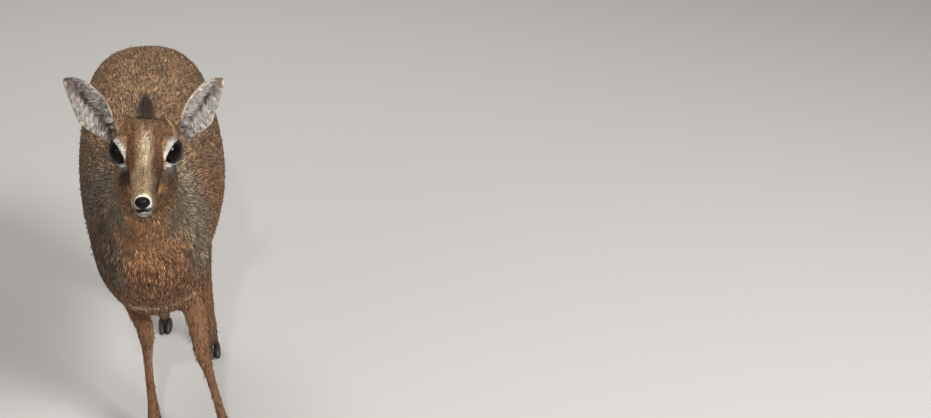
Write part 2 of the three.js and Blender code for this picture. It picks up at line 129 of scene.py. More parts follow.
def smooth_max(a: Array, b: Array, reach: float) -> Array:
    """The higher of two distances, with a rounded edge where they meet."""
    return -smooth_min(-a, -b, reach)


def soft_spot(points: Array, centre: tuple, reach: tuple) -> Array:
    """A mask that is 1 at a centre and fades out around it.

    Args:
        points: Places, in the same frame as the centre.
        centre: The middle of the spot.
        reach: Its half sizes along the three axes.

    Returns:
        The mask, one number for each place.
    """
    away = (points - np.asarray(centre)) / np.asarray(reach)
    return np.exp(-np.einsum("ij,ij->i", away, away))


def line_distance(points: Array, line: list) -> Array:
    """The distance from each point to a chain of straight lines, in as many axes as given.

    Args:
        points: Places, one in each row.
        line: The line's corners in order, with as many numbers each as the places.

    Returns:
        The distances in millimetres, one for each place.
    """
    nearest = np.full(len(points), 1e9)
    for start, end in zip(line[:-1], line[1:]):
        a, b = np.asarray(start, float), np.asarray(end, float)
        share = np.clip((points - a) @ (b - a) / ((b - a) @ (b - a)), 0.0, 1.0)
        nearest = np.minimum(nearest, np.linalg.norm(points - a - share[:, None] * (b - a), axis=1))
    return nearest


def dot(a: Array, b: Array) -> Array:
    """The product of two lists of vectors, row by row."""
    return np.einsum("ij,ij->i", a, b)


def flattened(ways: Array, normals: Array) -> Array:
    """Directions laid into the surface that the normals stand on, at length 1."""
    return unit(ways - normals * dot(ways, normals)[:, None])


def bell(away: Array, reach: Array) -> Array:
    """A mask that is 1 where away is 0 and fades out beyond reach."""
    return np.exp(-((away / reach) ** 2))


def faced_out(points: Array, faces: Array) -> Array:
    """Triangles with their outside outwards, turned over together where they aren't."""
    a, b, c = (points[faces[:, corner]] for corner in range(3))
    return faces if dot(a, np.cross(b, c)).sum() >= 0 else faces[:, [0, 2, 1]]


@dataclass(frozen=True)
class HeadFrame:
    """The head's own axes: its origin is midway between the eyes and its muzzle points along -Y."""

    at: tuple[float, float, float] = (13.3, -199.4, 442.8)
    yaw: float = -0.6
    pitch: float = -4.7
    roll: float = 4.8

    def turn(self) -> Array:
        """The rotation from the head's axes to the model's.

        Returns:
            The rotation as a matrix whose columns are the axes.
        """
        a, b, c = (math.radians(v) for v in (self.yaw, self.pitch, self.roll))
        about_z = np.array([[math.cos(a), -math.sin(a), 0], [math.sin(a), math.cos(a), 0], [0, 0, 1]])
        about_x = np.array([[1, 0, 0], [0, math.cos(b), -math.sin(b)], [0, math.sin(b), math.cos(b)]])
        about_y = np.array([[math.cos(c), 0, math.sin(c)], [0, 1, 0], [-math.sin(c), 0, math.cos(c)]])
        return about_z @ about_x @ about_y

    def local(self, points: Array) -> Array:
        """Model places as head places."""
        return (points - np.asarray(self.at)) @ self.turn()

    def world(self, points: Array) -> Array:
        """Head places as model places."""
        return points @ self.turn().T + np.asarray(self.at)


@dataclass(frozen=True)
class EyeFrame:
    """One eye's own axes: along the slit of the lids, across it, and out along the gaze."""

    side: float
    head: HeadFrame
    place: tuple[float, float, float] = (18.8, 1.0, -1.6)
    radius: float = 12.8
    lid_radius: float = 14.0
    aside: float = 47.0
    lift: float = 4.0
    tilt: float = 37.0
    front: tuple[float, float] = (11.2, 2.8)
    back: tuple[float, float] = (-11.4, -1.3)
    above: float = 6.5
    below: float = 8.9

    def centre(self) -> Array:
        """The middle of the eyeball in the head's frame."""
        return np.array([self.side * self.place[0], self.place[1], self.place[2]])

    def axes(self) -> Array:
        """The three axes as columns, in the head's frame.

        Returns:
            The axes as a matrix.
        """
        aside, lift, tilt = (math.radians(v) for v in (self.aside, self.lift, self.tilt))
        gaze = np.array(
            [
                self.side * math.sin(aside) * math.cos(lift),
                -math.cos(aside) * math.cos(lift),
                math.sin(lift),
            ]
        )
        down = np.array([0.0, -math.cos(tilt), -math.sin(tilt)])
        along = unit(down - gaze * (down @ gaze))
        across = np.cross(along, gaze) * self.side
        return np.stack([along, across, gaze], axis=1)

    def local(self, head_points: Array) -> Array:
        """Head places as eye places, mirrored so that both eyes share one set of numbers."""
        return (head_points - self.centre()) @ self.axes()

    def gap(self, head_points: Array) -> tuple[Array, Array]:
        """Head places as eye places, and their distance from the opening between the lids."""
        at = self.local(head_points)
        return at, self.opening(at[..., 0], at[..., 1])

    def world(self, eye_points: Array) -> Array:
        """Eye places as model places."""
        return self.head.world(eye_points @ self.axes().T + self.centre())

    def opening(self, along: Array, across: Array) -> Array:
        """The signed distance to the almond between the lids, negative inside.

        Args:
            along: Places along the slit, in millimetres.
            across: Places across the slit.

        Returns:
            The distance to the nearer of the two arcs that bound the almond.
        """
        front, back = np.asarray(self.front), np.asarray(self.back)
        middle, half = (front + back) / 2, np.linalg.norm(front - back) / 2
        chord = (front - back) / (2 * half)
        upward = np.array([-chord[1], chord[0]])
        outside = np.full(np.shape(along), -1e9)
        for height, way in ((self.above, 1.0), (self.below, -1.0)):
            bend = (half * half + height * height) / (2 * height)
            centre = middle + upward * way * (height - bend)
            outside = np.maximum(outside, np.hypot(along - centre[0], across - centre[1]) - bend)
        return outside

    def rim(self, count: int) -> Array:
        """Points round the edge of the almond, on the surface of the eyeball.

        Args:
            count: How many points the closed line has.

        Returns:
            The points in the eye's frame.
        """
        middle = (np.asarray(self.front) + np.asarray(self.back)) / 2
        angles = np.linspace(0, 2 * math.pi, count, endpoint=False)
        low, high = np.zeros(count), np.full(count, 20.0)
        for _ in range(30):
            reach = (low + high) / 2
            inside = self.opening(middle[0] + reach * np.cos(angles), middle[1] + reach * np.sin(angles)) < 0
            low, high = np.where(inside, reach, low), np.where(inside, high, reach)
        along, across = middle[0] + low * np.cos(angles), middle[1] + low * np.sin(angles)
        out = np.sqrt(np.maximum(self.radius**2 - along**2 - across**2, 0.0))
        return np.stack([along, across, out], axis=1)


@dataclass
class Block:
    """A box of signed distances on a regular lattice, in millimetres, negative inside."""

    low: Array
    step: float
    values: Array

    @classmethod
    def between(cls, low: tuple, high: tuple, step: float) -> "Block":
        """An empty block that covers a box.

        Args:
            low: The box's lowest corner.
            high: Its highest corner.
            step: The lattice's spacing.

        Returns:
            The block, far outside everywhere.
        """
        start = np.asarray(low, float)
        shape = np.ceil((np.asarray(high, float) - start) / step).astype(int) + 1
        return cls(start, step, np.full(shape, FAR, np.float32))

    def places(self) -> Array:
        """The place of each value of the lattice."""
        lines = [self.low[a] + self.step * np.arange(n) for a, n in enumerate(self.values.shape)]
        return np.stack(np.meshgrid(*lines, indexing="ij"), axis=-1)

    def distance(self, points: Array, reach: float, **faces: Array) -> Array:
        """The signed distance of the lattice's places from a closed mesh.

        Args:
            points: The mesh's vertices.
            reach: Distances are cut off beyond this.
            faces: Its triangles or quads, under the name that the level set takes.

        Returns:
            An array of this block's shape.
        """
        places = ((points - self.low) / self.step).astype(np.float32)
        made = vdb.FloatGrid.createLevelSetFromPolygons(places, halfWidth=reach / self.step, **faces)
        out = np.full(self.values.shape, reach / self.step, np.float32)
        made.copyToArray(out)
        return out * np.float32(self.step)

    def smoothed(self, passes: int) -> None:
        """Evens the distances out with a small kernel, once for each pass.

        Args:
            passes: How often the kernel is applied.
        """
        for _ in range(passes):
            for axis in range(3):
                lines = np.moveaxis(self.values, axis, 0)
                middle = (lines[:-2] + lines[2:]) * 0.25 + lines[1:-1] * 0.5
                lines[1:-1] = middle

    def at(self, points: Array) -> Array:
        """The distance at any places, blended between the lattice's eight nearest.

        Args:
            points: Places in millimetres.

        Returns:
            A distance for each place.
        """
        place = np.clip((points - self.low) / self.step, 0, np.array(self.values.shape) - 1.001)
        corner = place.astype(int)
        part = place - corner
        total = np.zeros(len(points))
        for offset in np.ndindex(2, 2, 2):
            share = np.where(offset, part, 1 - part).prod(axis=1)
            i, j, k = (corner + offset).T
            total += share * self.values[i, j, k]
        return total

    def surface(self, level: float = 0.0) -> tuple[Array, Array]:
        """The surface at one distance, as vertices in millimetres and quads that face outwards.

        Args:
            level: The distance at which the surface lies.

        Returns:
            The vertices and the quads, which index them.
        """
        grid = vdb.FloatGrid(FAR)
        grid.copyFromArray(self.values)
        points, quads = grid.convertToQuads(isovalue=level)
        return points.astype(float) * self.step + self.low, quads.astype(int)


def node_mesh(node: bpy.types.Object) -> tuple[Array, Array]:
    """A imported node's vertices in millimetres and its triangles.

    Args:
        node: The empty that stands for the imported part's node.

    Returns:
        The vertices and the triangles, which index them.
    """
    mesh = node.data
    points = np.zeros(len(mesh.vertices) * 3, np.float32)
    mesh.vertices.foreach_get("co", points)
    mesh.calc_loop_triangles()
    corners = np.zeros(len(mesh.loop_triangles) * 3, np.int32)
    mesh.loop_triangles.foreach_get("vertices", corners)
    return points.reshape(-1, 3).astype(float) / MM, corners.reshape(-1, 3).astype(np.uint32)


def make_mesh(name: str, points: Array, faces: Array, smooth: bool = True) -> bpy.types.Object:
    """A new object from arrays.

    Args:
        name: The object's name.
        points: Vertices in millimetres.
        faces: Faces of equal size, one row each.
        smooth: Whether the faces are shaded smooth.

    Returns:
        The linked object, with its place in its vertices.
    """
    mesh = bpy.data.meshes.new(name)
    sides = faces.shape[1]
    mesh.vertices.add(len(points))
    mesh.vertices.foreach_set("co", (points * MM).astype(np.float32).ravel())
    mesh.loops.add(faces.size)
    mesh.loops.foreach_set("vertex_index", faces.astype(np.int32).ravel())
    mesh.polygons.add(len(faces))
    mesh.polygons.foreach_set("loop_start", np.arange(0, faces.size, sides, dtype=np.int32))
    mesh.polygons.foreach_set("use_smooth", np.full(len(faces), smooth))
    mesh.update(calc_edges=True)
    mesh.validate()
    made = bpy.data.objects.new(name, mesh)
    bpy.context.scene.collection.objects.link(made)
    return made


def set_colours(mesh: bpy.types.Mesh, name: str, colours: Array) -> None:
    """Stores a linear colour at each vertex under a name.

    Args:
        mesh: The mesh that takes the colours.
        name: What the attribute is called.
        colours: A linear colour for each vertex.
    """
    layer = mesh.attributes.new(name, "FLOAT_COLOR", "POINT")
    full = np.ones((len(colours), 4), np.float32)
    full[:, :3] = colours
    layer.data.foreach_set("color", full.ravel())


def vertex_normals(points: Array, triangles: Array) -> Array:
    """Unit normals at the vertices, weighted by the area of their triangles.

    Args:
        points: The vertices.
        triangles: The triangles, which index them.

    Returns:
        A normal for each vertex.
    """
    a, b, c = (points[triangles[:, i]] for i in range(3))
    across = np.cross(b - a, c - a)
    total = np.zeros_like(points)
    for corner in range(3):
        for axis in range(3):
            total[:, axis] += np.bincount(triangles[:, corner], across[:, axis], len(points))
    return unit(total)


def triangles_of(quads: Array) -> Array:
    """Each quad as two triangles."""
    return np.concatenate([quads[:, [0, 1, 2]], quads[:, [0, 2, 3]]])


def settle(made: bpy.types.Object, slot: str, *replaced: str) -> None:
    """Puts a piece on the one body and in the place of the named solids.

    Args:
        made: The piece's object.
        slot: Not used.
        replaced: The solids that it stands for.
    """
    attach(made, "root")
    if replaced:
        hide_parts(*replaced)
    log.info("%s: %d faces", made.name, len(made.data.polygons))


def make_piece(
    name: str, points: Array, faces: Array, finish: bpy.types.Material, slot: str, *replaced: str
) -> bpy.types.Object:
    """A finished piece of the model.

    Args:
        name: The piece's name.
        points: Vertices in millimetres.
        faces: Faces of equal size, one row each.
        finish: Its material.
        slot: Not used.
        replaced: The solids that it stands for.

    Returns:
        The piece's object.
    """
    made = make_mesh(name, points, faces)
    made.data.materials.append(finish)
    settle(made, slot, *replaced)
    return made


def ball(rows: int, columns: int) -> tuple[Array, Array]:
    """A ball of radius 1 round the origin.

    Args:
        rows: How many bands it has from pole to pole.
        columns: How many faces it has round its axis.

    Returns:
        Vertices with the poles last, and triangles.
    """
    fall, turn = np.meshgrid(
        np.linspace(0, math.pi, rows + 1)[1:-1],
        np.linspace(0, 2 * math.pi, columns, endpoint=False),
        indexing="ij",
    )
    rings = np.stack([np.sin(fall) * np.cos(turn), np.sin(fall) * np.sin(turn), np.cos(fall)], axis=-1)
    points = np.concatenate([rings.reshape(-1, 3), [[0, 0, 1], [0, 0, -1]]])
    row, column = np.meshgrid(np.arange(rows - 2), np.arange(columns), indexing="ij")
    a, b = row * columns + column, row * columns + (column + 1) % columns
    sides = triangles_of(np.stack([a, a + columns, b + columns, b], axis=-1).reshape(-1, 4))
    first = np.arange(columns)
    last = first + (rows - 2) * columns
    pole = np.full(columns, len(points) - 2)
    top = np.stack([pole, first, np.roll(first, -1)], axis=1)
    low = np.stack([pole + 1, np.roll(last, -1), last], axis=1)
    return points, np.concatenate([sides, top, low])


@dataclass
class EarFrame:
    """One ear's own axes, taken from its solid: along it, towards the crown, and out of its cup."""

    node: bpy.types.Object
    middle: Array = None
    axes: Array = None
    root: Array = None
    length: float = 0.0
    half: float = 0.0

    def __post_init__(self) -> None:
        """Finds the axes from the spread of the solid's vertices."""
        points, _ = node_mesh(self.node)
        self.middle = points.mean(axis=0)
        spread = points - self.middle
        _, ways = np.linalg.eigh(spread.T @ spread)
        along = ways[:, 2] * np.sign(ways[2, 2])
        out = ways[:, 0] * -np.sign(ways[1, 0])
        crown = np.cross(along, out)
        crown *= -np.sign(crown[0] * self.middle[0])
        self.axes = np.stack([along, crown, out], axis=1)
        local = spread @ self.axes
        low, high = local.min(axis=0), local.max(axis=0)
        self.length = high[0] - low[0]
        self.half = (high[1] - low[1]) / 2
        centre = self.axes @ np.array([low[0], (low[1] + high[1]) / 2, (low[2] + high[2]) / 2])
        self.root = self.middle + centre

    def places(self, points: Array, normals: Array) -> tuple[Array, Array, Array]:
        """Where places are on the ear.

        Args:
            points: Places in millimetres.
            normals: The skin's normals there.

        Returns:
            The share of the length from the root, the place across from -1 to 1 with the
            crown's side positive, and how surely the place is inside the cup.
        """
        local = (points - self.root) @ self.axes
        u, v = local[:, 0] / self.length, local[:, 1] / self.half
        hollow = self.root + self.axes[:, :1].T * local[:, :1] + self.axes[:, 2] * 14.0
        inward = np.einsum("ij,ij->i", unit(hollow - points), normals)
        near = (u > -0.2) & (u < 1.2) & (np.abs(v) < 1.7) & (np.abs(local[:, 2]) < 26)
        return u, v, smooth_step(inward, 0.0, 0.35) * near


@dataclass
class Paint:
    """Colours laid over one another at a set of places."""

    colour: Array

    @classmethod
    def plain(cls, tint: tuple, count: int) -> "Paint":
        """One display colour at a number of places."""
        return cls(np.repeat(linear(tint)[None], count, axis=0))

    def lay(self, tint: tuple, mask: Array) -> None:
        """Lays a display colour over the places of a mask."""
        self.colour = blended(self.colour, linear(tint)[None], np.clip(mask, 0, 1)[:, None])


@dataclass
class Markings:
    """The coat's colours by place. Skin and tufts both take theirs from here."""

    head: HeadFrame
    back: tuple = (0.52, 0.395, 0.275)
    shoulder: tuple = (0.54, 0.475, 0.385)
    flank: tuple = (0.575, 0.405, 0.26)
    rump: tuple = (0.50, 0.37, 0.255)
    shadow_side: tuple = (0.36, 0.28, 0.215)
    chest: tuple = (0.53, 0.36, 0.22)
    throat: tuple = (0.70, 0.50, 0.325)
    under_chin: tuple = (0.74, 0.64, 0.49)
    leg: tuple = (0.43, 0.27, 0.145)
    leg_inside: tuple = (0.66, 0.53, 0.38)
    belly: tuple = (0.80, 0.70, 0.56)
    pastern: tuple = (0.34, 0.235, 0.155)
    face: tuple = (0.64, 0.46, 0.30)
    forehead: tuple = (0.60, 0.445, 0.30)
    muzzle_line_and_painted_shade: tuple = (0.31, 0.19, 0.11)
    stripe: tuple = (0.55, 0.335, 0.19)
    bridge_and_painted_highlight: tuple = (0.97, 0.84, 0.67)
    muzzle: tuple = (0.80, 0.65, 0.485)
    cheek: tuple = (0.62, 0.455, 0.31)
    painted_cheek_shade: tuple = (0.25, 0.165, 0.105)
    white: tuple = (0.97, 0.93, 0.86)
    grey: tuple = (0.86, 0.84, 0.81)
    ring: tuple = (0.88, 0.81, 0.71)
    ear_inside: tuple = (0.47, 0.42, 0.39)
    ear_shade: tuple = (0.25, 0.20, 0.18)
    ear_back: tuple = (0.50, 0.39, 0.28)
    ear_hair: tuple = (0.79, 0.755, 0.725)
    dark: tuple = (0.05, 0.035, 0.03)
    lip: tuple = (0.06, 0.045, 0.04)
    crest: tuple = (0.20, 0.145, 0.10)
    fringe: tuple = (0.60, 0.47, 0.34)

    def body(self, points: Array, normals: Array, weights: dict[Region, Array]) -> Array:
        """The colours of the body, neck, legs and tail.

        Args:
            points: Places in millimetres.
            normals: The skin's normals there.
            weights: How much each place belongs to each region.

        Returns:
            Linear colours.
        """
        x, y, z = points.T
        paint = Paint.plain(self.back, len(points))
        paint.lay(self.flank, smooth_step(-z, -355.0, -290.0) * smooth_step(y, -80.0, -10.0))
        paint.lay(self.rump, smooth_step(y, 150.0, 230.0))
        paint.lay(self.shoulder, smooth_step(-y, 20.0, 70.0) * smooth_step(z, 215.0, 275.0))
        paint.lay(self.shadow_side, smooth_step(-x, 8.0, 50.0) * smooth_step(-z, -390.0, -310.0) * 0.95)
        middle = 1 - smooth_step(np.abs(x - 4.0), 24.0, 42.0)
        front = smooth_step(-normals[:, 1], 0.15, 0.7)
        breast = np.maximum(middle, smooth_step(-z, -262.0, -235.0))
        paint.lay(self.chest, front * smooth_step(-z, -345.0, -290.0) * breast)
        paint.lay(self.belly, smooth_step(-normals[:, 2], 0.55, 0.95) * smooth_step(y, -100.0, -40.0))
        facing = -normals[:, 1] - 0.35 * np.abs(normals[:, 0])
        throat = weights[Region.NECK] * smooth_step(facing, 0.0, 0.55)
        paint.lay(self.throat, throat)
        paint.lay(self.under_chin, throat * smooth_step(z, 366.0, 396.0) * 0.8)
        # Painted highlight: a pale band across the bottom of the chest, standing in for the light along its
        # lower edge.
        paint.lay(self.bridge_and_painted_highlight, front * bell(z - 222.0, 5.0) * (np.abs(x) < 34.0) * 0.4)
        legs = weights[Region.LEGS] * smooth_step(-z, -290.0, -225.0)
        paint.lay(self.leg, legs)
        inner = np.where(x > 0, -normals[:, 0], normals[:, 0])
        paint.lay(self.leg_inside, legs * smooth_step(inner, 0.35, 0.9) * smooth_step(z, 60.0, 150.0) * 0.6)
        paint.lay(self.pastern, smooth_step(-z, -46.0, -26.0))
        paint.lay(self.white, weights[Region.TAIL] * smooth_step(-normals[:, 1], -0.2, 0.6))
        return paint.colour

    def face_colours(self, points: Array, normals: Array) -> Array:
        """The colours of the head, by place in the head's frame.

        Args:
            points: Places in millimetres.
            normals: The skin's normals there.

        Returns:
            Linear colours.
        """
        local = self.head.local(points)
        x, y, z = local.T
        aside = np.abs(x)
        mirrored = np.stack([aside, y, z], axis=1)
        up = normals @ self.head.turn()[:, 2]
        paint = Paint.plain(self.face, len(points))
        paint.lay(self.forehead, smooth_step(y, -4.0, 18.0) * smooth_step(z, 4.0, 16.0))
        paint.lay(self.cheek, smooth_step(aside, 12.0, 24.0) * smooth_step(-z, 10.0, 24.0))
        paint.lay(self.muzzle, smooth_step(-y, 30.0, 46.0))
        top = smooth_step(up, 0.1, 0.6) * smooth_step(-y, -20.0, 2.0)
        behind_nose = smooth_step(y, -46.0, -34.0)
        width = np.interp(y, [-46.0, -10.0, 14.0], [7.2, 9.2, 12.5])
        stripe = bell(aside - width, 1.9) * smooth_step(-y, -5.0, 10.0) * behind_nose
        paint.lay(self.stripe, stripe * smooth_step(up, -0.2, 0.4) * 0.95)
        paint.lay(self.bridge_and_painted_highlight, bell(x - 0.8, 4.4) * top * behind_nose * smooth_step(-y, 0.0, 18.0) * 0.85)
        # Along the brow's ridge: a painted highlight on its crest, painted shade behind it and painted shade
        # under it.
        for offset, tint, wide, strength in (
            ((0.0, 0.0, 0.0), self.bridge_and_painted_highlight, 2.0, 0.35),
            ((0.0, 3.4, 1.6), self.muzzle_line_and_painted_shade, 2.4, 0.95),
            ((0.0, -3.2, -1.6), self.painted_cheek_shade, 1.3, 0.6),
        ):
            away = line_distance(mirrored - np.array(offset), BROW_LINE)
            paint.lay(tint, bell(away, wide) * strength)
        paint.lay(self.muzzle_line_and_painted_shade, bell(aside, 1.8) * top * smooth_step(-y, 38.0, 44.0) * 0.6)
        # Painted shade in the groove between the muzzle and the cheek.
        paint.lay(self.painted_cheek_shade, bell(line_distance(mirrored, GROOVE_LINE), 5.0) * 0.95)
        paint.lay(self.crest, soft_spot(local, CREST_FOOT_AT, (11.0, 6.5, 8.0)) * 0.6)
        # Painted shade on the lower cheek beside the muzzle.
        paint.lay(self.painted_cheek_shade, soft_spot(mirrored, (19.0, -22.0, -22.0), (5.0, 8.0, 8.0)) * 0.55)
        ring = np.linalg.norm((mirrored - np.asarray(NOSE_AT)) / np.array([8.8, 8.0, 7.4]), axis=1)
        paint.lay(self.ring, 1 - smooth_step(ring, 0.86, 1.02))
        lip = bell(line_distance(local[:, 1:], PALE_LIP_LINE), 2.0)
        paint.lay(self.white, lip * smooth_step(-y, 38.0, 48.0) * 0.9)
        jaw = smooth_step(-z, 33.5, 36.0) * smooth_step(-y, 24.0, 40.0)
        paint.lay(self.white, jaw * (1 - smooth_step(aside, 11.0, 15.0)))
        under = smooth_step(-up, 0.5, 0.9) * smooth_step(-z, 30.0, 44.0)
        paint.lay(self.throat, under * smooth_step(y, -40, -20))
        return paint.colour

    def eye_ring(self, paint: Paint, points: Array, eye: EyeFrame) -> None:
        """Lays the pale ring, the dark lid margin and the gland's pit round one eye.

        Args:
            paint: The colours so far.
            points: Places in millimetres.
            eye: The eye.
        """
        head = self.head.local(points)
        local, gap = eye.gap(head)
        near = smooth_step(local[:, 2], 1.0, 5.0)
        upper = smooth_step(local[:, 1], -1.5, 1.0)
        wide = np.interp(local[:, 0], [-11.0, 0.0, 9.0], [2.1, 1.5, 1.2])
        white = bell(gap - 2.1, wide) * upper * near * smooth_step(-local[:, 0], -12.5, -9.0)
        paint.lay(self.white, white * 1.3)
        mirrored = head * np.array([eye.side, 1, 1])
        paint.lay(self.grey, soft_spot(mirrored, UNDER_EYE_AT, (7.0, 7.0, 5.4)) * 1.7)
        corner = bell(np.hypot(local[:, 0] + 12.0, local[:, 1] + 1.0), 3.4)
        outer = bell(gap, 2.2) * (1 - upper) * smooth_step(-local[:, 0], 3.0, 8.0)
        paint.lay(self.dark, np.maximum(outer, corner) * near * 1.4)
        paint.lay(self.dark, smooth_step(-gap, -1.5, -0.6) * near)
        paint.lay(self.dark, soft_spot(mirrored, GLAND_AT, (2.8, 3.2, 2.6)) * 1.7)

    def ear_colours(self, points: Array, normals: Array, ear: EarFrame) -> Array:
        """The colours of one ear.

        Args:
            points: Places in millimetres.
            normals: The skin's normals there.
            ear: The ear.

        Returns:
            Linear colours.
        """
        u, v, inside = ear.places(points, normals)
        cup = Paint.plain(self.ear_inside, len(points))
        shade = bell(u - 0.55, 0.36) * bell(v - 0.02, 0.52)
        shade = np.maximum(shade, bell(u - 0.1, 0.14) * bell(v, 0.5))
        streak = 0.5 + 0.5 * np.cos((u * 6.0 - v * 1.4 + 0.25 * np.sin(u * 23.0)) * 2 * math.pi)
        cup.lay(self.ear_shade, shade * (0.35 + 0.95 * streak))
        paint = Paint.plain(self.ear_back, len(points))
        paint.colour = blended(paint.colour, cup.colour, inside[:, None])
        reach = np.interp(u, [0.0, 0.42, 0.75, 0.92, 1.0], [0.5, 1.0, 0.78, 0.45, 0.1])
        rim = smooth_step(np.abs(v) / reach, 0.74, 0.98) * (0.4 + 0.6 * inside)
        paint.lay(self.ring, rim * 0.85 * smooth_step(u, 0.12, 0.26))
        return paint.colour

    def at(self, points: Array, normals: Array, weights: dict, eyes: list, ears: list) -> Array:
        """The coat's colour anywhere on the skin.

        Args:
            points: Places in millimetres.
            normals: The skin's normals there.
            weights: How much each place belongs to each region.
            eyes: The eyes' frames.
            ears: The ears' frames.

        Returns:
            Linear colours.
        """
        head = weights[Region.HEAD] + weights[Region.EARS]
        colour = self.body(points, normals, weights)
        colour = blended(colour, self.face_colours(points, normals), head[:, None])
        for ear in ears:
            own = (np.linalg.norm(points - ear.middle, axis=1) < ear.length * 0.75) * weights[Region.EARS]
            colour = blended(colour, self.ear_colours(points, normals, ear), own[:, None])
        paint = Paint(colour)
        for eye in eyes:
            self.eye_ring(paint, points, eye)
        self.mouth(paint, points)
        return paint.colour

    def mouth(self, paint: Paint, points: Array) -> None:
        """Darkens the line of the lips and the rim of the nose pad.

        Args:
            paint: The colours so far, which it darkens.
            points: Places in the head's frame.
        """
        local = self.head.local(points)
        wide = np.interp(np.abs(local[:, 0]), [3.0, 7.5], [1.0, 0.0])
        gap = line_distance(local[:, 1:], MOUTH_LINE) - 0.9 * wide
        lip = smooth_step(-gap, -1.9, -0.9) * smooth_step(-local[:, 1], 33.0, 40.0)
        groove = soft_spot(local, (0.0, -67.0, -30.6), (3.2, 6.0, 1.9)) * 1.3
        paint.lay(self.lip, np.maximum(lip, groove))


@dataclass
class Skin:
    """The whole hide as one closed mesh: the flesh nodes joined, smoothed and drawn in by the coat."""

    nodes: dict
    head: HeadFrame
    eyes: list[EyeFrame]
    body_step: float = 2.65
    head_step: float = 1.0
    body_low: tuple = (-105.0, -205.0, -8.0)
    body_high: tuple = (135.0, 292.0, 470.0)
    head_low: tuple = (-62.0, -286.0, 352.0)
    head_high: tuple = (124.0, -104.0, 508.0)
    collar: tuple = (3.6, -138.0, 378.0)  # a place on the plane where the two lattices meet
    collar_way: tuple = (0.09, -0.58, 0.81)
    core: tuple = ((13.0, -184.0, 436.0), (4.0, -142.0, 382.0))
    core_radius: float = 15.0
    body_passes: int = 2
    head_passes: int = 4
    leg_depth: float = -0.3
    trunk_depth: float = 1.1
    crown_depth: float = 0.7
    muzzle_depth: float = 1.0
    overlap: float = 0.2  # closes the thin cuts between the solids
    closing: float = 0.4
    torso_fillet: float = 14.0
    neck_fillet: float = 9.0
    leg_fillet: float = 11.0
    tail_fillet: float = 6.0
    joint_fillet: float = 0.8
    ear_fillet: float = 5.0
    nose_fillet: float = 3.0
    lid_fillet: float = 2.0
    lid_edge: float = 1.2
    lid_swell: float = 0.3
    lid_hold: float = 0.9  # how far the lids reach into the eyeball
    softness: float = 5.0
    ear_swell: float = 0.75  # added before smoothing, so that the thin rims stay
    pad_reach: tuple = (7.2, 6.2, 5.6)
    parts: dict = field(default_factory=dict)
    ears: list = field(default_factory=list)
    points: Array = None
    faces: Array = None
    normals: Array = None
    colours: Array = None
    unwrap: Array = None

    def above_collar(self, points: Array) -> Array:
        """How far places are on the head's side of the collar."""
        return (points - np.asarray(self.collar)) @ unit(np.asarray(self.collar_way))

    def depth(self, points: Array) -> Array:
        """How far the skin is drawn in: the coat's depth, less what smoothing takes off the thin legs.

        Args:
            points: Places in the model's frame.

        Returns:
            The depth in millimetres, negative where the skin moves out.
        """
        trunk = blended(self.leg_depth, self.trunk_depth, smooth_step(points[..., 2], 160.0, 290.0))
        muzzle = smooth_step(-points[..., 1], 226.0, 250.0)
        head = blended(self.crown_depth, self.muzzle_depth, muzzle)
        return blended(trunk, head, smooth_step(self.above_collar(points), -40.0, 55.0))

    def weights(self, points: Array) -> dict[Region, Array]:
        """How much places near the skin belong to each region, adding up to one.

        Args:
            points: Places in the model's frame.

        Returns:
            Each region's share at every place.
        """
        trunk = (Region.TORSO, Region.NECK, Region.TAIL, Region.LEGS)
        away = np.stack([self.parts[region].at(points) for region in trunk])
        share = np.exp((away.min(axis=0) - away) / self.softness)
        share /= share.sum(axis=0)
        head = smooth_step(self.above_collar(points), -8.0, 26.0)
        ear = 1 - smooth_step(self.parts[Region.EARS].at(points), 0.8, 4.5)
        found = {region: part * (1 - head) for region, part in zip(trunk, share)}
        found[Region.HEAD] = head * (1 - ear)
        found[Region.EARS] = head * ear
        return found

    def hair_scale(self, points: Array) -> Array:
        """How long the hair is at places, against its own zone's lengths.

        Args:
            points: Places in the model's frame.

        Returns:
            The factor on the length, one for each place.
        """
        weights = self.weights(points)
        local = self.head.local(points)
        face = np.interp(local[:, 1], [-66, -46, -12, 14, 40, 64], [0.34, 0.46, 0.72, 0.95, 1.1, 1.8])
        for eye in self.eyes:
            at, gap = eye.gap(local)
            face = face * (1 - 0.42 * (1 - smooth_step(gap, 1.0, 9.0)) * smooth_step(at[:, 2], 0.0, 5.0))
        legs = np.interp(points[:, 2], [0, 60, 150, 240], [0.62, 0.75, 0.95, 1.25])
        trunk = np.interp(points[:, 2], [170, 260], [0.72, 1.0])
        total = weights[Region.HEAD] * face + weights[Region.EARS] * 0.85 + weights[Region.LEGS] * legs
        return total + (weights[Region.TORSO] + weights[Region.NECK] + weights[Region.TAIL]) * trunk

    def furred(self, points: Array, facing: Array) -> Array:
        """A mask that is 0 where the skin is bare: inside the lids, under the nose pad, in the mouth.

        Args:
            points: Places in the head's frame.
            facing: The normals there.

        Returns:
            The mask, one number for each place.
        """
        local = self.head.local(points)
        mask = np.ones(len(points))
        for eye in self.eyes:
            at, gap = eye.gap(local)
            mask[(gap < 0.9) & (at[:, 2] > 0) & (np.linalg.norm(at, axis=1) < eye.lid_radius + 2.5)] = 0
        pad = np.linalg.norm((local - np.asarray(NOSE_AT)) / np.asarray(self.pad_reach), axis=1)
        mask *= smooth_step(pad, 0.98, 1.12)
        mask[(line_distance(local[:, 1:], MOUTH_LINE) < 0.5) & (local[:, 1] < -37.0)] = 0
        for ear in self.ears:
            u, _, inside = ear.places(points, facing)
            mask *= 1 - 0.72 * inside * smooth_step(-u, -0.85, -0.55)
        return mask

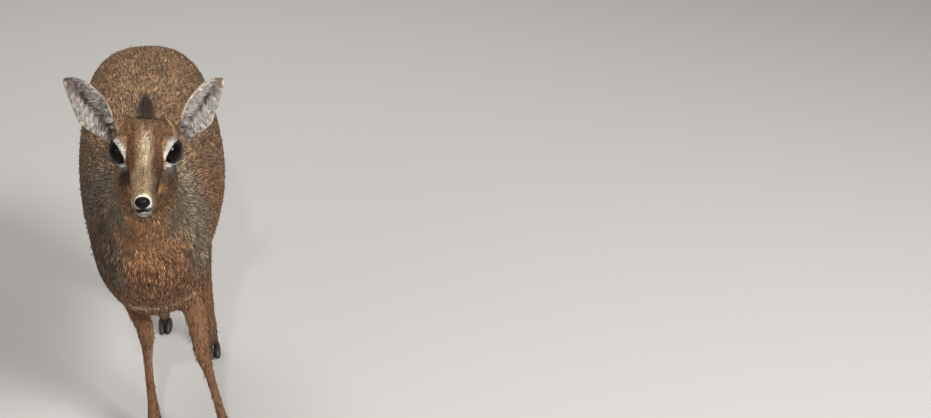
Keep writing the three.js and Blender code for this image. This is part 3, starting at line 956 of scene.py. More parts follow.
    def face_lie(self, points: Array) -> Array:
        """The direction of the hair on the head: back from the nose and round the eyes.

        Args:
            points: Places in the head's frame.

        Returns:
            The direction at each place.
        """
        local = self.head.local(points)
        x, y, z = local.T
        spread = np.sign(x) * 0.30 * smooth_step(np.abs(x), 3.0, 12.0) * smooth_step(y, -50, -10)
        fall = -0.12 - 0.75 * smooth_step(-z, 8.0, 26.0) * smooth_step(y, -10, 25)
        ways = unit(np.stack([spread, np.ones(len(x)), fall], axis=1)) @ self.head.turn().T
        for eye in self.eyes:
            at, gap = eye.gap(local)
            near = (1 - smooth_step(gap, 2.5, 8.0)) * smooth_step(at[:, 2], 0.0, 5.0)
            away = unit(at[:, :2] - np.array([-0.5, 0.0])) * 0.55
            round_eye = np.stack([away[:, 0] - 0.9, away[:, 1], 0.0 * near], axis=1)
            parted = unit(round_eye) @ eye.axes().T @ self.head.turn().T
            ways = unit(blended(ways, parted, near[:, None]))
        return ways

    def lie(self, points: Array, normals: Array) -> Array:
        """The direction that the hair lies in, along the skin.

        Args:
            points: Places on the skin.
            normals: The skin's normals there.

        Returns:
            Unit vectors square to the normals.
        """
        x, y, _ = points.T
        ones = np.ones(len(points))
        down, front = smooth_step(y, 150.0, 240.0), smooth_step(-y, 40.0, 110.0)
        back = blended(1.0, 0.15, np.maximum(down, front))
        ways = {
            Region.TORSO: np.stack([0 * x, back, -0.42 - 0.6 * down - 0.8 * front], axis=1),
            Region.NECK: np.stack([-0.1 * np.sign(x), 0.38 * ones, -0.9 * ones], axis=1),
            Region.LEGS: np.stack([0 * x, 0.22 * ones, -ones], axis=1),
            Region.TAIL: np.stack([0 * x, 0.3 * ones, -ones], axis=1),
            Region.HEAD: self.face_lie(points),
        }
        weights = self.weights(points)
        total = sum(weights[region][:, None] * unit(way) for region, way in ways.items())
        for ear in self.ears:
            near = np.linalg.norm(points - ear.middle, axis=1) < ear.length
            total = total + (weights[Region.EARS] * near)[:, None] * ear.axes[:, 0]
        return flattened(total, normals)

    def node_distance(self, block: Block, name: str, reach: float) -> Array:
        """The distance of a block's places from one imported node."""
        points, triangles = node_mesh(self.nodes[name])
        return block.distance(points, reach, triangles=triangles)

    def trunk(self, block: Block, reach: float) -> Array:
        """Torso, neck, tail and legs joined with fillets, as distances in a block.

        Args:
            block: The lattice to fill.
            reach: How far the distances reach.

        Returns:
            The joined distances. The parts' own are kept for the regions of the coat.
        """
        names = {Region.TORSO: "torso", Region.NECK: "neck", Region.TAIL: "tail"}
        found = {region: self.node_distance(block, name, reach) for region, name in names.items()}
        joined = smooth_min(found[Region.TORSO], found[Region.NECK] - self.overlap, self.torso_fillet)
        joined = smooth_min(joined, found[Region.TAIL] - self.overlap, self.tail_fillet)
        legs = np.full(block.values.shape, reach, np.float32)
        for leg in LEGS:
            one = self.node_distance(block, leg + "_upper", reach)
            for part in ("_lower", "_foot"):
                one = smooth_min(one, self.node_distance(block, leg + part, reach), self.joint_fillet)
            joined = smooth_min(joined, one - self.overlap, self.leg_fillet)
            legs = np.minimum(legs, one)
        found[Region.LEGS] = legs
        self.parts = {region: Block(block.low, block.step, values) for region, values in found.items()}
        return joined

    def body_surface(self) -> tuple[Array, Array]:
        """The body's skin below the collar.

        Returns:
            The vertices in millimetres and the quads.
        """
        reach = 15.0
        block = Block.between(self.body_low, self.body_high, self.body_step)
        block.values = self.trunk(block, reach)
        points, quads = block.surface(self.closing)
        block.values = block.distance(points, reach, quads=quads.astype(np.uint32)) + self.closing
        block.smoothed(self.body_passes)
        block.values += self.depth(block.places()).astype(np.float32)
        return block.surface()

    def head_surface(self) -> tuple[Array, Array]:
        """The skin of the head and ears, down to the collar, with the lids cut open over the eyes.

        Returns:
            The vertices in millimetres and the quads.
        """
        block = Block.between(self.head_low, self.head_high, self.head_step)
        reach, relief_reach = 11.0, 6.0
        places = block.places()
        head = self.node_distance(block, "head", reach) - self.overlap
        flesh = smooth_min(self.node_distance(block, "neck", reach) - self.overlap, head, self.neck_fillet)
        flesh = smooth_min(flesh, self.node_distance(block, "torso", reach), self.torso_fillet)
        flesh = smooth_min(flesh, self.node_distance(block, "nose", reach), self.nose_fillet)
        core = line_distance(places.reshape(-1, 3), self.core).reshape(flesh.shape)
        flesh = np.minimum(flesh, (core - self.core_radius).astype(np.float32))
        for eye in self.eyes:
            ball = np.linalg.norm(places - eye.world(np.zeros((1, 3)))[0], axis=-1)
            lids = (ball - eye.lid_radius - self.lid_swell).astype(np.float32)
            flesh = smooth_min(flesh, lids, self.lid_fillet)
        block.values = np.minimum(flesh, reach).astype(np.float32)
        block.smoothed(self.head_passes)
        block.values += self.depth(places).astype(np.float32)
        near = np.abs(block.values) < relief_reach
        block.values[near] += self.face_relief(places[near]).astype(np.float32)
        ears = np.minimum(*(self.node_distance(block, f"ear_{side}", reach) for side in SIDES))
        ear_block = Block(block.low, block.step, ears - np.float32(self.ear_swell))
        ear_block.smoothed(1)
        self.parts[Region.EARS] = ear_block
        block.values = smooth_min(block.values, ear_block.values, self.ear_fillet)
        for eye in self.eyes:
            local, hole = eye.gap(self.head.local(places))
            hole = np.maximum(hole, eye.radius - self.lid_hold - np.linalg.norm(local, axis=-1))
            hole = np.maximum(hole, -local[..., 2])
            block.values = smooth_max(block.values, -hole.astype(np.float32), self.lid_edge)
        return block.surface()

    def face_relief(self, points: Array) -> Array:
        """How far the face's small forms dent the skin, in millimetres, and negative for ridges.

        Args:
            points: Places in the head's frame.

        Returns:
            The depth of the dent at each place.
        """
        local = self.head.local(points)
        mirrored = np.concatenate([np.abs(local[:, :1]), local[:, 1:]], axis=1)
        lips = bell(line_distance(local[:, 1:], MOUTH_LINE), 0.9)
        dent = 1.1 * lips * smooth_step(-local[:, 1], 36.0, 42.0)
        dent -= 1.9 * bell(line_distance(mirrored, BROW_LINE), 2.2)
        for deep, centre, reach in (
            (1.3, GLAND_AT, (2.2, 3.2, 2.4)),
            (0.9, (16.5, -24.0, -16.0), (3.5, 9.0, 5.0)),
            (-0.8, (9.0, -40.0, -14.0), (2.5, 9.0, 5.0)),
            (0.7, (11.5, 6.0, 18.0), (4.0, 12.0, 8.0)),
        ):
            dent += deep * soft_spot(mirrored, centre, reach)
        return dent

    def build(self) -> None:
        """Makes the two surfaces and stitches them into one at the collar."""
        way = unit(np.asarray(self.collar_way))
        body = self.half(*self.body_surface(), way)
        head = self.half(*self.head_surface(), -way)
        self.stitch(body, head)

    def dress(self, markings: Markings, finish: bpy.types.Material) -> None:
        """Makes the skin's object with its colours and its unwrap.

        Args:
            markings: The coat's colours by place.
            finish: The skin's material.
        """
        weights = self.weights(self.points)
        self.colours = markings.at(self.points, self.normals, weights, self.eyes, self.ears)
        made = make_piece("skin", self.points, self.faces, finish, "coat_back", *FLESH)
        set_colours(made.data, "tint", self.colours)
        bpy.context.view_layer.objects.active = made
        made.select_set(True)
        bpy.ops.object.mode_set(mode="EDIT")
        bpy.ops.mesh.select_all(action="SELECT")
        bpy.ops.uv.smart_project(angle_limit=math.radians(70), island_margin=0.002)
        bpy.ops.object.mode_set(mode="OBJECT")
        made.select_set(False)
        layer = made.data.uv_layers[0]
        layer.name = "OFBake"
        places = np.zeros(len(made.data.loops) * 2, np.float32)
        layer.data.foreach_get("uv", places)
        self.unwrap = places.reshape(-1, 3, 2).astype(float)

    def half(self, points: Array, quads: Array, way: Array) -> tuple[Array, Array, Array]:
        """One surface cut off flat at the collar.

        Args:
            points: Its vertices.
            quads: Its faces.
            way: The direction, from the collar's plane, of what is cut off.

        Returns:
            Vertices, triangles, and the numbers of the vertices on the cut.
        """
        side = (points - np.asarray(self.collar)) @ way
        far = side[quads].min(axis=1) > 0
        near = ~far & (side[quads].max(axis=1) > 0)
        inside = triangles_of(quads[~far & ~near])
        mesh = bmesh.new()
        number = mesh.verts.layers.int.new("number")
        used, index = np.unique(quads[near], return_inverse=True)
        made = [mesh.verts.new(p) for p in points[used]]
        for corners in index.reshape(-1, 4):
            mesh.faces.new([made[i] for i in corners])
        for vertex, old in zip(made, used):
            vertex[number] = int(old) + 1
        parts = list(mesh.verts) + list(mesh.edges) + list(mesh.faces)
        bmesh.ops.bisect_plane(
            mesh, geom=parts, plane_co=Vector(self.collar), plane_no=Vector(way), clear_outer=True
        )
        bmesh.ops.triangulate(mesh, faces=list(mesh.faces))
        kept = {}
        added, strip = [], []
        for face in mesh.faces:
            for vertex in face.verts:
                if vertex in kept:
                    continue
                on_cut = abs((Vector(vertex.co) - Vector(self.collar)).dot(Vector(way))) < 1e-4
                if vertex[number] > 0 and not on_cut:
                    kept[vertex] = vertex[number] - 1
                else:
                    kept[vertex] = len(points) + len(added)
                    added.append(tuple(vertex.co))
            strip.append([kept[vertex] for vertex in face.verts])
        mesh.free()
        points = np.concatenate([points, np.asarray(added, float)])
        used, index = np.unique(np.concatenate([inside, np.asarray(strip, int)]), return_inverse=True)
        points = points[used]
        on_plane = np.abs((points - np.asarray(self.collar)) @ way) < 1e-3
        return points, index.reshape(-1, 3), np.flatnonzero(on_plane)

    def stitch(self, body: tuple, head: tuple) -> None:
        """Joins the body and the head with a strip of triangles between their rings.

        Args:
            body: Vertices, triangles and ring of the body.
            head: The same of the head.
        """
        self.points = np.concatenate([body[0], head[0]])
        rings = [body[2], head[2] + len(body[0])]
        middle = self.points[rings[0]].mean(axis=0)
        across = unit(np.cross(self.collar_way, (0.0, 0.0, 1.0)))
        other = np.cross(unit(np.asarray(self.collar_way)), across)
        angles = []
        for i, ring in enumerate(rings):
            away = self.points[ring] - middle
            turn = np.arctan2(away @ other, away @ across)
            order = np.argsort(turn)
            rings[i] = np.append(ring[order], ring[order[0]])
            angles.append(np.append(turn[order], turn[order[0]] + 2 * math.pi))
        lower, upper = rings
        strip = []
        i = j = 0
        while i < len(lower) - 1 or j < len(upper) - 1:
            upper_done = j == len(upper) - 1
            if upper_done or (i < len(lower) - 1 and angles[0][i + 1] <= angles[1][j + 1]):
                strip.append((lower[i], lower[i + 1], upper[j]))
                i += 1
            else:
                strip.append((lower[i], upper[j + 1], upper[j]))
                j += 1
        strip = np.asarray(strip, int)
        corners = self.points[strip] - middle
        normal = np.cross(corners[:, 1] - corners[:, 0], corners[:, 2] - corners[:, 0])
        if dot(normal, corners.mean(axis=1)).sum() < 0:
            strip = strip[:, [0, 2, 1]]
        faces = np.concatenate([body[1], head[1] + len(body[0])])
        self.faces = np.concatenate([faced_out(self.points, faces), strip])
        self.normals = vertex_normals(self.points, self.faces)


@dataclass(frozen=True)
class CoatZone:
    """How the tufts of one part of the coat grow. Lengths are in millimetres, angles in degrees."""

    name: str
    region: Region
    slot: str
    count: int
    length: tuple[float, float]
    width: tuple[float, float]
    lift: tuple[float, float]
    long: bool
    stray: float
    grizzle: float
    lock: float  # millimetres across the locks that share a shade
    patchy: float  # how far their shades differ


ZONES = (
    CoatZone(
        "coat_back", Region.TORSO, "coat_back", 58000, (6.0, 9.5), (0.8, 1.5), (5, 13), True,
        stray=13.0, grizzle=0.7, lock=4.0, patchy=0.5,
    ),
    CoatZone(
        "coat_neck", Region.NECK, "coat_neck", 20000, (4.5, 7.5), (0.7, 1.2), (5, 11), True,
        stray=10.0, grizzle=0.5, lock=3.6, patchy=0.4,
    ),
    CoatZone(
        "coat_tail", Region.TAIL, "coat_back", 2600, (8.0, 13.0), (0.8, 1.4), (8, 22), True,
        stray=10.0, grizzle=0.3, lock=4.0, patchy=0.3,
    ),
    CoatZone(
        "coat_leg", Region.LEGS, "coat_leg", 60000, (3.2, 5.4), (0.5, 1.0), (3, 7), False,
        stray=6.0, grizzle=0.25, lock=4.0, patchy=0.25,
    ),
    CoatZone(
        "coat_face", Region.HEAD, "face", 100000, (3.4, 6.0), (0.5, 0.95), (7, 16), False,
        stray=11.0, grizzle=0.85, lock=2.2, patchy=0.9,
    ),
    CoatZone(
        "coat_ear", Region.EARS, "ear", 42000, (2.4, 4.0), (0.32, 0.55), (3, 9), False,
        stray=9.0, grizzle=0.3, lock=3.0, patchy=0.3,
    ),
)


@dataclass
class Roots:
    """The places that tufts grow from."""

    points: Array
    normals: Array
    lie: Array
    scale: Array
    colour: Array
    place: Array

    def picked(self, chosen: Array) -> "Roots":
        """The roots of a mask or an index."""
        return Roots(*(getattr(self, name)[chosen] for name in self.__dataclass_fields__))


@dataclass
class TuftShape:
    """The sizes of a group of tufts, one number for each: millimetres, and degrees off the skin."""

    length: Array
    width: Array
    lift: Array
    droop: Array
    stray: float
    long: bool


@dataclass
class Coat:
    """The fur over the skin, as tapered tufts that lie along the body."""

    skin: Skin
    markings: Markings
    finish: bpy.types.Material
    seed: int = 11
    patch: float = 0.0015  # half a tuft's size on the unwrap
    most: int = 190000  # triangles in one piece
    sink: float = 0.2  # how deep the roots are in the skin
    droop: float = 4.0
    curl: float = 0.12
    ridge: float = 0.3  # the height of a tuft's ridge as a share of its width
    waist: float = 0.9
    dark_hairs: float = 0.34  # the share of hairs that stray from their place's colour, and how far
    dark_stray: float = -0.95
    pale_hairs: float = 0.24
    pale_stray: float = 1.15
    uneven: float = 0.12
    shades: tuple = (0.5, 1.0, 1.15)  # at the root, the middle and the tip
    crest_at: tuple = (0.0, 25.0)
    crest_reach: tuple = (13.5, 12.5)
    crest_length: float = 20.5
    crest_count: int = 3400
    ear_hairs: int = 3400
    middles: Array = None
    facing: Array = None
    areas: Array = None
    bare: Array = None
    scales: Array = None

    def build(self) -> None:
        """Makes the tufts of every zone, the crest and the hair in the ears."""
        corners = self.skin.points[self.skin.faces]
        across = np.cross(corners[:, 1] - corners[:, 0], corners[:, 2] - corners[:, 0])
        self.middles, self.facing = corners.mean(axis=1), unit(across)
        self.areas = np.linalg.norm(across, axis=1)
        self.bare = self.skin.furred(self.middles, self.facing)
        self.scales = self.skin.hair_scale(self.middles)
        for number, zone in enumerate(ZONES):
            self.zone(zone, np.random.default_rng(self.seed + number))
        self.crest(np.random.default_rng(self.seed + 20))
        self.ear_hair(np.random.default_rng(self.seed + 30))

    def scattered(self, weight: Array, count: int, random: np.random.Generator) -> Roots:
        """Draws roots on the skin.

        Args:
            weight: How densely they stand on each of the skin's triangles.
            count: How many there are.
            random: The source of chance.

        Returns:
            The roots.
        """
        skin = self.skin
        density = np.cumsum(self.areas * weight)
        spread = (np.arange(count) + random.random(count)) / count
        face = np.searchsorted(density, spread * density[-1])
        share = random.random((count, 2))
        flip = share.sum(axis=1) > 1
        share[flip] = 1 - share[flip]
        share = np.concatenate([1 - share.sum(axis=1, keepdims=True), share], axis=1)[:, :, None]
        corners = skin.faces[face]
        around = (skin.points[corners], skin.normals[corners], skin.colours[corners], skin.unwrap[face])
        points, normals, colour, place = ((values * share).sum(axis=1) for values in around)
        normals = unit(normals)
        return Roots(points, normals, skin.lie(points, normals), skin.hair_scale(points), colour, place)

    def zone(self, zone: CoatZone, random: np.random.Generator) -> None:
        """Builds a zone's tufts, closer where they are smaller, as pieces under the limit of triangles.

        Args:
            zone: The zone's hair.
            random: The source of the random draws.
        """
        weight = self.skin.weights(self.middles)[zone.region] * self.bare / self.scales**2
        roots = self.scattered(weight, zone.count, random)
        each = self.most // len(LONG_TUFT if zone.long else SHORT_TUFT)
        order = np.argsort(roots.points[:, 1], kind="stable")
        parts = math.ceil(zone.count / each)
        for number, chosen in enumerate(np.array_split(order, parts)):
            name = zone.name if parts == 1 else f"{zone.name}_{number + 1}"
            picked = roots.picked(chosen)
            count, size = len(chosen), picked.scale
            shape = TuftShape(
                random.uniform(*zone.length, count) * size,
                random.uniform(*zone.width, count) * size**0.7,
                random.uniform(*zone.lift, count) * np.clip(size, 0.8, 1.3),
                np.full(count, self.droop),
                zone.stray,
                zone.long,
            )
            picked.colour = picked.colour * self.locks(picked, zone.lock, zone.patchy)
            self.piece(name, zone.slot, picked, shape, zone.grizzle, random)

    def piece(
        self,
        name: str,
        slot: str,
        roots: Roots,
        shape: TuftShape,
        grizzle: float,
        random: np.random.Generator,
    ) -> bpy.types.Object:
        """Builds one piece of the coat.

        Args:
            name: The piece's name.
            slot: Not used.
            roots: Where its tufts grow.
            shape: Their sizes.
            grizzle: How far single hairs stray from the colour of their place.
            random: The source of chance.

        Returns:
            The piece's object.
        """
        count = len(roots.points)
        length, width = shape.length[:, None], shape.width[:, None]
        lift = np.radians(shape.lift)[:, None]
        turn = np.radians(random.normal(0, shape.stray, count))[:, None]
        along = roots.lie * np.cos(turn) + np.cross(roots.normals, roots.lie) * np.sin(turn)
        side = np.cross(roots.normals, along)
        first = along * np.cos(lift) + roots.normals * np.sin(lift)
        bent = lift - np.radians(shape.droop)[:, None]
        last = along * np.cos(bent) + roots.normals * np.sin(bent)
        last += side * random.normal(0, self.curl, count)[:, None]
        ridge = np.cross(first, side) * -width * self.ridge
        half = side * width * 0.5
        root = roots.points - roots.normals * self.sink * np.minimum(roots.scale[:, None], 1.0)
        middle = root + first * length * 0.5
        tip = middle + last * length * 0.5
        if shape.long:
            rows = [root + half, root + ridge, root - half]
            rows += [middle + half * self.waist, middle + ridge, middle - half * self.waist, tip]
            across, reach, pattern = (1, 0, -1, 1, 0, -1, 0), (0, 0, 0, 0.5, 0.5, 0.5, 1), LONG_TUFT
        else:
            rows = [root + half, root + ridge, root - half, tip]
            across, reach, pattern = (1, 0, -1, 0), (0, 0, 0, 1), SHORT_TUFT
        faces = (pattern[None] + np.arange(count)[:, None, None] * len(rows)).reshape(-1, 3)
        made = make_piece(name, np.stack(rows, axis=1).reshape(-1, 3), faces, self.finish, slot)
        along_tuft = np.asarray(reach, float)
        patch = np.stack([np.asarray(across, float), along_tuft * 2 - 1], axis=1) * self.patch
        places = (roots.place[:, None] + patch[None]).reshape(-1, 2)
        layer = made.data.uv_layers.new(name="OFBake")
        layer.data.foreach_set("uv", places[faces.ravel()].astype(np.float32).ravel())
        set_colours(made.data, "tint", self.tints(roots, along_tuft, grizzle, random).reshape(-1, 3))
        return made

    def locks(self, roots: Roots, size: float, strength: float) -> Array:
        """How light or dark the locks are that the roots belong to, longer along the lie than across.

        Args:
            roots: Where the tufts grow.
            size: The locks' width in millimetres.
            strength: How far their shades differ.

        Returns:
            A factor for each root, as one column.
        """
        cells = 40
        random = np.random.default_rng(self.seed + 70)
        shades = Block(np.zeros(3), 1.0, random.random((cells + 1, cells + 1, cells + 1)))
        along = dot(roots.points, roots.lie)[:, None] * roots.lie
        stretched = (roots.points - along * 0.35) / size
        mirrored = np.abs((stretched + 10.0 * cells) % (2.0 * cells) - cells)
        return np.exp(strength * (shades.at(mirrored) - 0.5) * 2.6)[:, None]

    def tints(self, roots: Roots, reach: Array, grizzle: float, random: np.random.Generator) -> Array:
        """The colour of each tuft from root to tip, with the odd dark or pale hair.

        Args:
            roots: Where the tufts grow.
            reach: How far along the tuft each of its vertices is.
            grizzle: How far single hairs stray from the colour of their place.
            random: The source of chance.

        Returns:
            Linear colours, one row for each vertex of each tuft.
        """
        count = len(roots.points)
        kind = random.random(count)
        stray = np.where(kind > 1 - self.pale_hairs, self.pale_stray, 0.0)
        stray = np.where(kind < self.dark_hairs, self.dark_stray, stray)
        bright = (1 + grizzle * stray) * np.exp(random.normal(0, self.uneven, count))
        shade = np.interp(reach, [0, 0.5, 1], self.shades)
        return np.clip((roots.colour * bright[:, None])[:, None] * shade[None, :, None], 0, 1)

    def from_crest(self, points: Array) -> tuple[Array, Array]:
        """How far places are from the crest's middle, by axis and in all, as shares of its reach.

        Args:
            points: Places in the head's frame.

        Returns:
            The shares by axis and in all.
        """
        local = self.skin.head.local(points)
        away = (local[:, :2] - np.asarray(self.crest_at)) / np.asarray(self.crest_reach)
        return away, np.linalg.norm(away, axis=1)

    def crest(self, random: np.random.Generator) -> None:
        """The upright tuft of longer dark hair on the forehead, which peaks in the middle.

        Args:
            random: The source of the random draws.
        """
        head = self.skin.head
        _, ring = self.from_crest(self.middles)
        weight = (ring < 1) * (head.local(self.middles)[:, 2] > 12) * (1.2 - ring)
        roots = self.scattered(weight, self.crest_count, random)
        away, ring = self.from_crest(roots.points)
        count = len(ring)
        up = np.stack([-away[:, 0] * 0.30, 0.28 - away[:, 1] * 0.36, np.ones(count)], axis=1)
        up[:, :2] += random.normal(0, 0.09, (count, 2))
        way = unit(up) @ head.turn().T
        lift = np.degrees(np.arcsin(np.clip(dot(way, roots.normals), -1, 1)))
        roots.lie = flattened(way, roots.normals)
        side = smooth_step(np.abs(away[:, 0]) + random.normal(0, 0.12, count), 0.45, 0.9) * 0.9
        paint = Paint.plain(self.markings.crest, count)
        paint.lay(self.markings.fringe, side)
        roots.colour = paint.colour
        peak = 0.2 + 0.86 * np.clip(1.0 - ring, 0.0, 1.0) ** 1.35
        length = self.crest_length * peak * random.uniform(0.62, 1.1, count)
        width = random.uniform(0.5, 1.0, count)
        shape = TuftShape(length, width, lift, random.uniform(-6, 8, count), 9.0, True)
        made = self.piece("crest_hair", "crest", roots, shape, 0.55, random)
        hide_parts("crest")

    def ear_hair(self, random: np.random.Generator) -> None:
        """The long pale hairs that cross the cup of each ear in bundles from its margins.

        Args:
            random: The source of the random draws.
        """
        for ear, side in zip(self.skin.ears, SIDES):
            u, v, inside = ear.places(self.middles, self.facing)
            bundle = (0.5 + 0.5 * np.cos((u * 11.0 + 0.2 * np.sin(v * 5)) * 2 * math.pi)) ** 2
            crown = bell(v - 0.66, 0.22) * (u > 0.06) * (u < 0.98)
            cheek = bell(v + 0.72, 0.2) * (u > 0.06) * (u < 0.95) * 0.8
            own = self.skin.weights(self.middles)[Region.EARS]
            roots = self.scattered(own * inside * bundle * (crown + cheek), self.ear_hairs, random)
            u, v, _ = ear.places(roots.points, roots.normals)
            count = len(u)
            along = np.interp(u, [0, 0.9], [0.45, 1.2])[:, None]
            inward = -np.sign(v)[:, None] * ear.axes[:, 1] * 0.85 + ear.axes[:, 0] * along
            roots.lie = flattened(inward, roots.normals)
            pale = linear(self.markings.ear_hair)[None]
            roots.colour = pale * random.uniform(0.3, 1.15, count)[:, None]
            size = np.interp(u, [0, 0.5, 0.8, 1.0], [0.7, 1.0, 0.55, 0.25])
            length = random.uniform(6.0, 12.0, count) * size
            width = random.uniform(0.22, 0.45, count)
            lift = random.uniform(8, 24, count)
            shape = TuftShape(length, width, lift, np.full(count, 12.0), 10.0, True)
            self.piece(f"ear_hair_{side}", "ear", roots, shape, 0.15, random)


def add_node(tree: bpy.types.NodeTree, kind: str, **values: object) -> bpy.types.Node:
    """A new node with the given values in its inputs, whose names have underscores for blanks.

    Args:
        tree: The node tree that gets it.
        kind: The node's type in Blender.
        values: What each input is set to.

    Returns:
        The new node.
    """
    made = tree.nodes.new(kind)
    for name, value in values.items():
        made.inputs[name.replace("_", " ")].default_value = value
    return made


def start_material(name: str) -> tuple[bpy.types.Material, bpy.types.Node, bpy.types.NodeSocket]:
    """A new material with its shader and the socket of the piece's own coordinates.

    Args:
        name: What the material is called.

    Returns:
        The material, its shader and the socket of the coordinates.
    """
    material = bpy.data.materials.new(name)
    material.use_nodes = True
    place = add_node(material.node_tree, "ShaderNodeTexCoord").outputs["Object"]
    return material, material.node_tree.nodes["Principled BSDF"], place


def add_bump(
    tree: bpy.types.NodeTree, height: bpy.types.NodeSocket, shader: bpy.types.Node, depth: float
) -> None:
    """Bends the shader's normals by a height that stands for so many metres.

    Args:
        tree: The material's node tree.
        height: The socket that gives the height, from 0 to 1.
        shader: The shader whose normals bend.
        depth: What a height of 1 stands for, in metres.
    """
    bump = add_node(tree, "ShaderNodeBump", Distance=depth, Strength=0.8)
    tree.links.new(height, bump.inputs["Height"])
    tree.links.new(bump.outputs["Normal"], shader.inputs["Normal"])


@dataclass(frozen=True)
class HideFinish:
    """Skin or coat: the colours stored on the mesh, broken up by fine noise, with a bump."""

    name: str
    roughness: float
    sheen: float
    fine: float  # noise cells in a metre
    depth: float  # metres that the bump stands for
    # A factor on the stored colours; the skin's 0.8 is painted shade for the shadow that the coat casts on
    # it.
    shade: float = 1.0
    gloss: float = 0.12

    def build(self) -> bpy.types.Material:
        """Makes the material."""
        material, shader, place = start_material(self.name)
        tree = material.node_tree
        link = tree.links.new
        grain = add_node(tree, "ShaderNodeTexNoise", Scale=self.fine, Detail=3.0)
        cloud = add_node(tree, "ShaderNodeTexNoise", Scale=self.fine / 9, Detail=2.0)
        both = tree.nodes.new("ShaderNodeMath")
        both.operation = "ADD"
        for index, one in enumerate((grain, cloud)):
            link(place, one.inputs["Vector"])
            link(one.outputs["Fac"], both.inputs[index])
        low, high = 0.78 * self.shade, 1.22 * self.shade
        scale = add_node(tree, "ShaderNodeMapRange", From_Min=0.7, From_Max=1.3, To_Min=low, To_Max=high)
        link(both.outputs[0], scale.inputs["Value"])
        stored = tree.nodes.new("ShaderNodeAttribute")
        stored.attribute_name = "tint"
        hue = tree.nodes.new("ShaderNodeHueSaturation")
        link(scale.outputs["Result"], hue.inputs["Value"])
        link(stored.outputs["Color"], hue.inputs["Color"])
        link(hue.outputs["Color"], shader.inputs["Base Color"])
        shader.inputs["Roughness"].default_value = self.roughness
        shader.inputs["Sheen Weight"].default_value = self.sheen
        shader.inputs["Specular IOR Level"].default_value = self.gloss
        add_bump(tree, grain.outputs["Fac"], shader, self.depth)
        return material


@dataclass(frozen=True)
class SolidFinish:
    """Eye, nose pad or horn: one dark colour with its own grain."""

    name: str
    dark: tuple
    pale: tuple
    roughness: tuple[float, float]
    cells: float  # grains in a metre
    depth: float  # metres that the bump stands for
    wet: float = 0.0
    stretch: tuple = (1.0, 1.0, 1.0)
    cellular: bool = False
    gloss: float = 0.5

    def build(self) -> bpy.types.Material:
        """Makes the material."""
        material, shader, place = start_material(self.name)
        tree = material.node_tree
        link = tree.links.new
        turned = add_node(tree, "ShaderNodeMapping", Scale=self.stretch)
        link(place, turned.inputs["Vector"])
        kind = "ShaderNodeTexVoronoi" if self.cellular else "ShaderNodeTexNoise"
        grain = add_node(tree, kind, Scale=self.cells)
        link(turned.outputs["Vector"], grain.inputs["Vector"])
        height = grain.outputs["Distance" if self.cellular else "Fac"]
        ramp = tree.nodes.new("ShaderNodeValToRGB")
        for stop, at, tint in zip(ramp.color_ramp.elements, (0.3, 0.75), (self.dark, self.pale)):
            stop.position = at
            stop.color = (*linear(tint), 1)
        link(height, ramp.inputs["Fac"])
        link(ramp.outputs["Color"], shader.inputs["Base Color"])
        smooth, rough = self.roughness
        spread = add_node(tree, "ShaderNodeMapRange", To_Min=smooth, To_Max=rough)
        link(height, spread.inputs["Value"])
        link(spread.outputs["Result"], shader.inputs["Roughness"])
        shader.inputs["Specular IOR Level"].default_value = self.gloss
        shader.inputs["Coat Weight"].default_value = self.wet
        shader.inputs["Coat Roughness"].default_value = 0.04
        add_bump(tree, height, shader, self.depth)
        return material


EYE_FINISH = SolidFinish(
    "wet_eye", (0.02, 0.014, 0.012), (0.05, 0.03, 0.022), (0.0, 0.04), 260.0, 0.000005, gloss=0.12
)
NOSE_FINISH = SolidFinish(
    "nose_leather", (0.06, 0.05, 0.05), (0.025, 0.022, 0.022), (0.42, 0.6), 1150.0, 0.00012,
    wet=0.03, cellular=True, gloss=0.12,
)
HORN_FINISH = SolidFinish(
    "hoof_horn", (0.075, 0.062, 0.055), (0.19, 0.16, 0.135), (0.35, 0.6), 130.0, 0.00018,
    stretch=(1.0, 1.0, 7.0),
)
LASH_FINISH = SolidFinish(
    "lash", (0.04, 0.03, 0.028), (0.07, 0.055, 0.05), (0.5, 0.7), 700.0, 0.00002, gloss=0.2
)
LID_FINISH = SolidFinish(
    "lid_margin", (0.02, 0.015, 0.014), (0.05, 0.04, 0.036), (0.5, 0.7), 900.0, 0.00005, gloss=0.12
)


def rounded(node: bpy.types.Object, step: float, passes: int, swell: float) -> tuple[Array, Array]:
    """A node's form as a fine, evenly rounded surface.

    Args:
        node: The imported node.
        step: The lattice's spacing in millimetres.
        passes: How often it is smoothed.
        swell: How far the surface is moved out.

    Returns:
        Vertices in millimetres and quads.
    """
    points, triangles = node_mesh(node)
    room = 4 * step + 1
    block = Block.between(points.min(axis=0) - room, points.max(axis=0) + room, step)
    block.values = block.distance(points, 3 * step + 1, triangles=triangles)
    block.smoothed(passes)
    return block.surface(swell)


def tube(line: Array, radius: float, sides: int) -> tuple[Array, Array]:
    """A closed tube along a closed line.

    Args:
        line: The line's points in millimetres.
        radius: The tube's radius.
        sides: How many sides it has.

    Returns:
        Vertices and triangles.
    """
    ahead = unit(np.roll(line, -1, axis=0) - np.roll(line, 1, axis=0))
    across = unit(np.cross(ahead, unit(line - line.mean(axis=0))))
    outward = np.cross(across, ahead)
    angles = np.linspace(0, 2 * math.pi, sides, endpoint=False)[None, :, None]
    ring = outward[:, None] * np.cos(angles) + across[:, None] * np.sin(angles)
    points = (line[:, None] + ring * radius).reshape(-1, 3)
    i, j = np.meshgrid(np.arange(len(line)), np.arange(sides), indexing="ij")
    here, ahead = i * sides, ((i + 1) % len(line)) * sides
    turned = (j + 1) % sides
    quads = np.stack([here + j, here + turned, ahead + turned, ahead + j], axis=-1)
    return points, triangles_of(quads.reshape(-1, 4))


